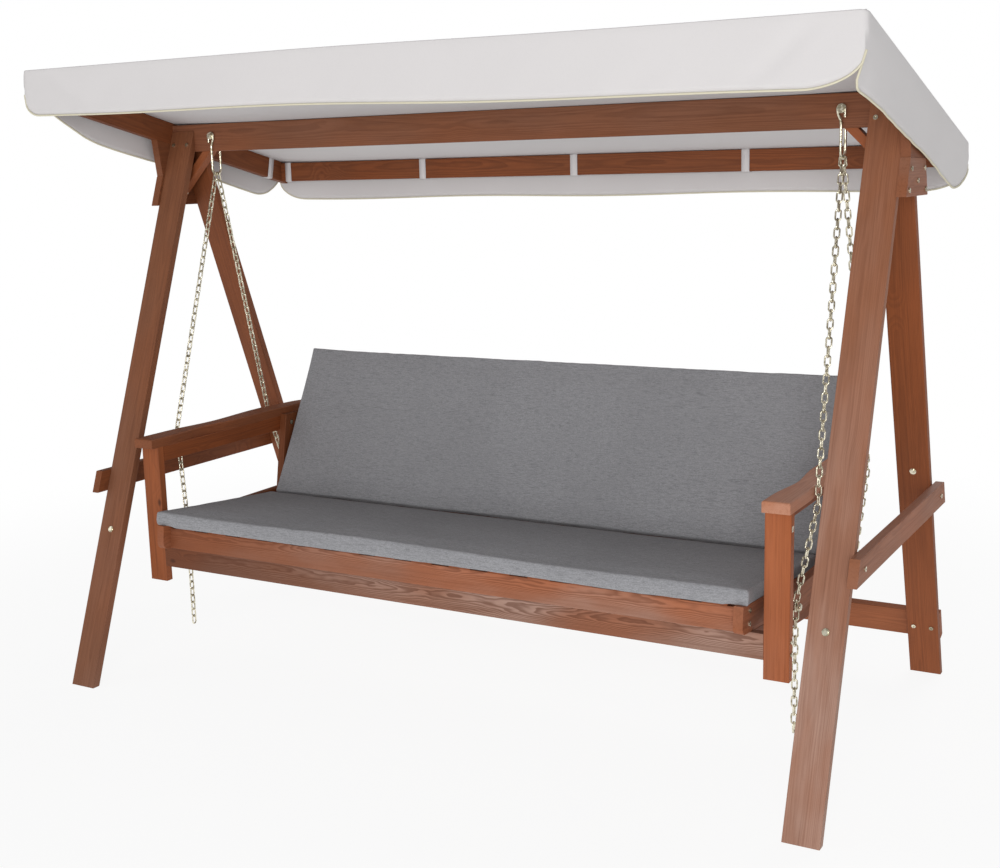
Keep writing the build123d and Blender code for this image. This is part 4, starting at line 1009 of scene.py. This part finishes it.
class SWING_OT_cushions(bpy.types.Operator):
    """Make the seat and back cushions"""

    bl_idname = "swing.cushions"
    bl_label = "Make the cushions"

    def execute(self, context):
        cushions = context.scene.swing_cushions
        start = Vector((0, SEAT_FRONT, SEAT_TOP)) + Vector(SEAT_WAY) * SEAT_CUSHION_START
        size = (SEAT_CUSHION_HALF, SEAT_CUSHION_LENGTH, cushions.seat_thickness)
        look = {"seed": 21, "droop": 0.010, "low_end": 0.0, "high_end": 0.006, "left_end": 0.010}
        seat_pad = self.pad("seat_pad", start, SEAT_WAY, SEAT_FACE, size, look)
        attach(seat_pad, "seat")
        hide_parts("seat_cushion")
        start = Vector((0, BACK_FOOT, BACK_FOOT_HEIGHT))
        size = (BACK_CUSHION_HALF, BACK_CUSHION_LENGTH, cushions.back_thickness)
        look = {"seed": 37, "droop": 0.0, "low_end": 0.010, "high_end": 0.0, "left_end": 0.0}
        back_pad = self.pad("back_pad", start, BACK_WAY, BACK_FACE, size, look)
        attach(back_pad, "backrest")
        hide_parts("back_cushion")
        return {"FINISHED"}

    def pad(self, name, start, way, face, size, look):
        """One cushion of a half width, length and thickness, from the middle of its front or lower edge."""
        cushions = bpy.context.scene.swing_cushions
        turn = Matrix((Vector(ACROSS), Vector(way), Vector(face))).transposed()
        bm = cushion_lattice(*size)
        cushion_shape(bm, *size, **look)
        bmesh.ops.translate(bm, vec=(0, 0, SLAT_GAP), verts=bm.verts)
        bmesh.ops.transform(bm, matrix=Matrix.Translation(start) @ turn.to_4x4(), verts=bm.verts)
        bmesh.ops.recalc_face_normals(bm, faces=bm.faces)
        piece = new_piece(name, bm, melange_cover(name + "_cover", Vector(ACROSS), Vector(way)))
        swell(piece, turn.col[2], start, cushions.pressure, cushions.swelling)
        soften(piece, "Rounded seams", SEAM_RADIUS, 3)
        return piece


def lamp(name, place, target, size, power):
    """A soft square lamp that looks at a point."""
    light = bpy.data.lights.new(name, "AREA")
    light.shape = "SQUARE"
    light.size = size
    light.energy = power
    holder = bpy.data.objects.new(name, light)
    holder.location = place
    holder.rotation_euler = (Vector(target) - Vector(place)).to_track_quat("-Z", "Y").to_euler()
    bpy.context.scene.collection.objects.link(holder)


# The floor's half width and the distances over which it fades into white, in metres
FLOOR_HALF = 40
GLOW_FADE = (1.8, 4.0)
NEAR_GLOW = 0.90
WHITE = (1, 1, 1)


class SWING_OT_stage(bpy.types.Operator):
    """Set the camera, the pale floor and the soft lamps"""

    bl_idname = "swing.stage"
    bl_label = "Set the stage"

    def execute(self, context):
        scene = context.scene
        stage = scene.swing_stage
        turn, tip, roll = (math.radians(angle) for angle in (stage.turn, stage.tip, stage.roll))
        level = Vector((-math.sin(turn), math.cos(turn), 0))
        right = Vector((math.cos(turn), math.sin(turn), 0))
        ahead = math.cos(tip) * level - math.sin(tip) * Vector(UP)
        above = math.sin(tip) * level + math.cos(tip) * Vector(UP)
        across = math.cos(roll) * right + math.sin(roll) * above
        upward = -math.sin(roll) * right + math.cos(roll) * above
        camera = bpy.data.objects.new("camera", bpy.data.cameras.new("camera"))
        camera.data.lens = stage.lens
        camera.data.sensor_width = 36
        camera.data.clip_end = 200
        camera.matrix_world = (
            Matrix.Translation(Vector(stage.eye)) @ Matrix((across, upward, -ahead)).transposed().to_4x4()
        )
        scene.collection.objects.link(camera)
        scene.camera = camera

        bm = bmesh.new()
        bmesh.ops.create_grid(bm, x_segments=1, y_segments=1, size=FLOOR_HALF)
        shader = Shader("pale_floor")
        x, y, _ = shader.parts(shader.place())
        far = (x * x + y * y) ** 0.5
        shader.finish((0.9, 0.9, 0.9), 0.9)
        shader.glow(WHITE, NEAR_GLOW + far.ramp(*GLOW_FADE) * (1 - NEAR_GLOW))
        floor = new_piece("floor", bm, shader.material, smooth=False)

        world = bpy.data.worlds.new("studio")
        scene.world = world
        world.use_nodes = True
        tree = world.node_tree
        tree.nodes.clear()
        output = tree.nodes.new("ShaderNodeOutputWorld")
        even, white = (tree.nodes.new("ShaderNodeBackground") for _ in range(2))
        for light, strength in ((even, stage.sky), (white, 1.0)):
            light.inputs["Color"].default_value = (*WHITE, 1.0)
            light.inputs["Strength"].default_value = strength
        rays = tree.nodes.new("ShaderNodeLightPath")
        mix = tree.nodes.new("ShaderNodeMixShader")
        tree.links.new(rays.outputs["Is Camera Ray"], mix.inputs[0])
        tree.links.new(even.outputs[0], mix.inputs[1])
        tree.links.new(white.outputs[0], mix.inputs[2])
        tree.links.new(mix.outputs[0], output.inputs["Surface"])

        lamp("key_lamp", (2.7, -6.7, 1.9), (0, 0, 1.0), 3.0, stage.key)
        lamp("fill_lamp", (-5.0, -5.5, 2.6), (0, 0, 0.9), 4.0, stage.fill)
        lamp("rear_lamp", (1.5, 6.0, 4.0), (0, 0, 1.0), 4.0, stage.rear)
        scene.view_settings.view_transform = "Standard"
        return {"FINISHED"}


OPERATORS = (SWING_OT_timber, SWING_OT_fittings, SWING_OT_canopy, SWING_OT_cushions, SWING_OT_stage)


class SWING_PT_panel(bpy.types.Panel):
    """The swing's steps and its sizes and colours"""

    bl_label = "Garden swing"
    bl_idname = "SWING_PT_panel"
    bl_space_type = "VIEW_3D"
    bl_region_type = "UI"
    bl_category = "Garden swing"

    def draw(self, context):
        for operator in OPERATORS:
            self.layout.operator(operator.bl_idname)
        for group in GROUPS:
            box = self.layout.box()
            settings = getattr(context.scene, group)
            for key in settings.bl_rna.properties.keys():
                if key not in {"rna_type", "name"}:
                    box.prop(settings, key)


GROUPS = {
    "swing_timber": SwingTimber,
    "swing_metal": SwingMetal,
    "swing_canopy": SwingCanopy,
    "swing_cushions": SwingCushions,
    "swing_stage": SwingStage,
}
CLASSES = (*GROUPS.values(), *OPERATORS, SWING_PT_panel)


def register():
    for item in CLASSES:
        bpy.utils.register_class(item)
    for name, group in GROUPS.items():
        setattr(bpy.types.Scene, name, bpy.props.PointerProperty(type=group))


def unregister():
    for name in GROUPS:
        delattr(bpy.types.Scene, name)
    for item in reversed(CLASSES):
        bpy.utils.unregister_class(item)


def main():
    register()
    for operator in OPERATORS:
        group, step = operator.bl_idname.split(".")
        if getattr(getattr(bpy.ops, group), step)() != {"FINISHED"}:
            raise RuntimeError(f"{operator.bl_idname} did not finish")


if __name__ == "__main__":
    main()
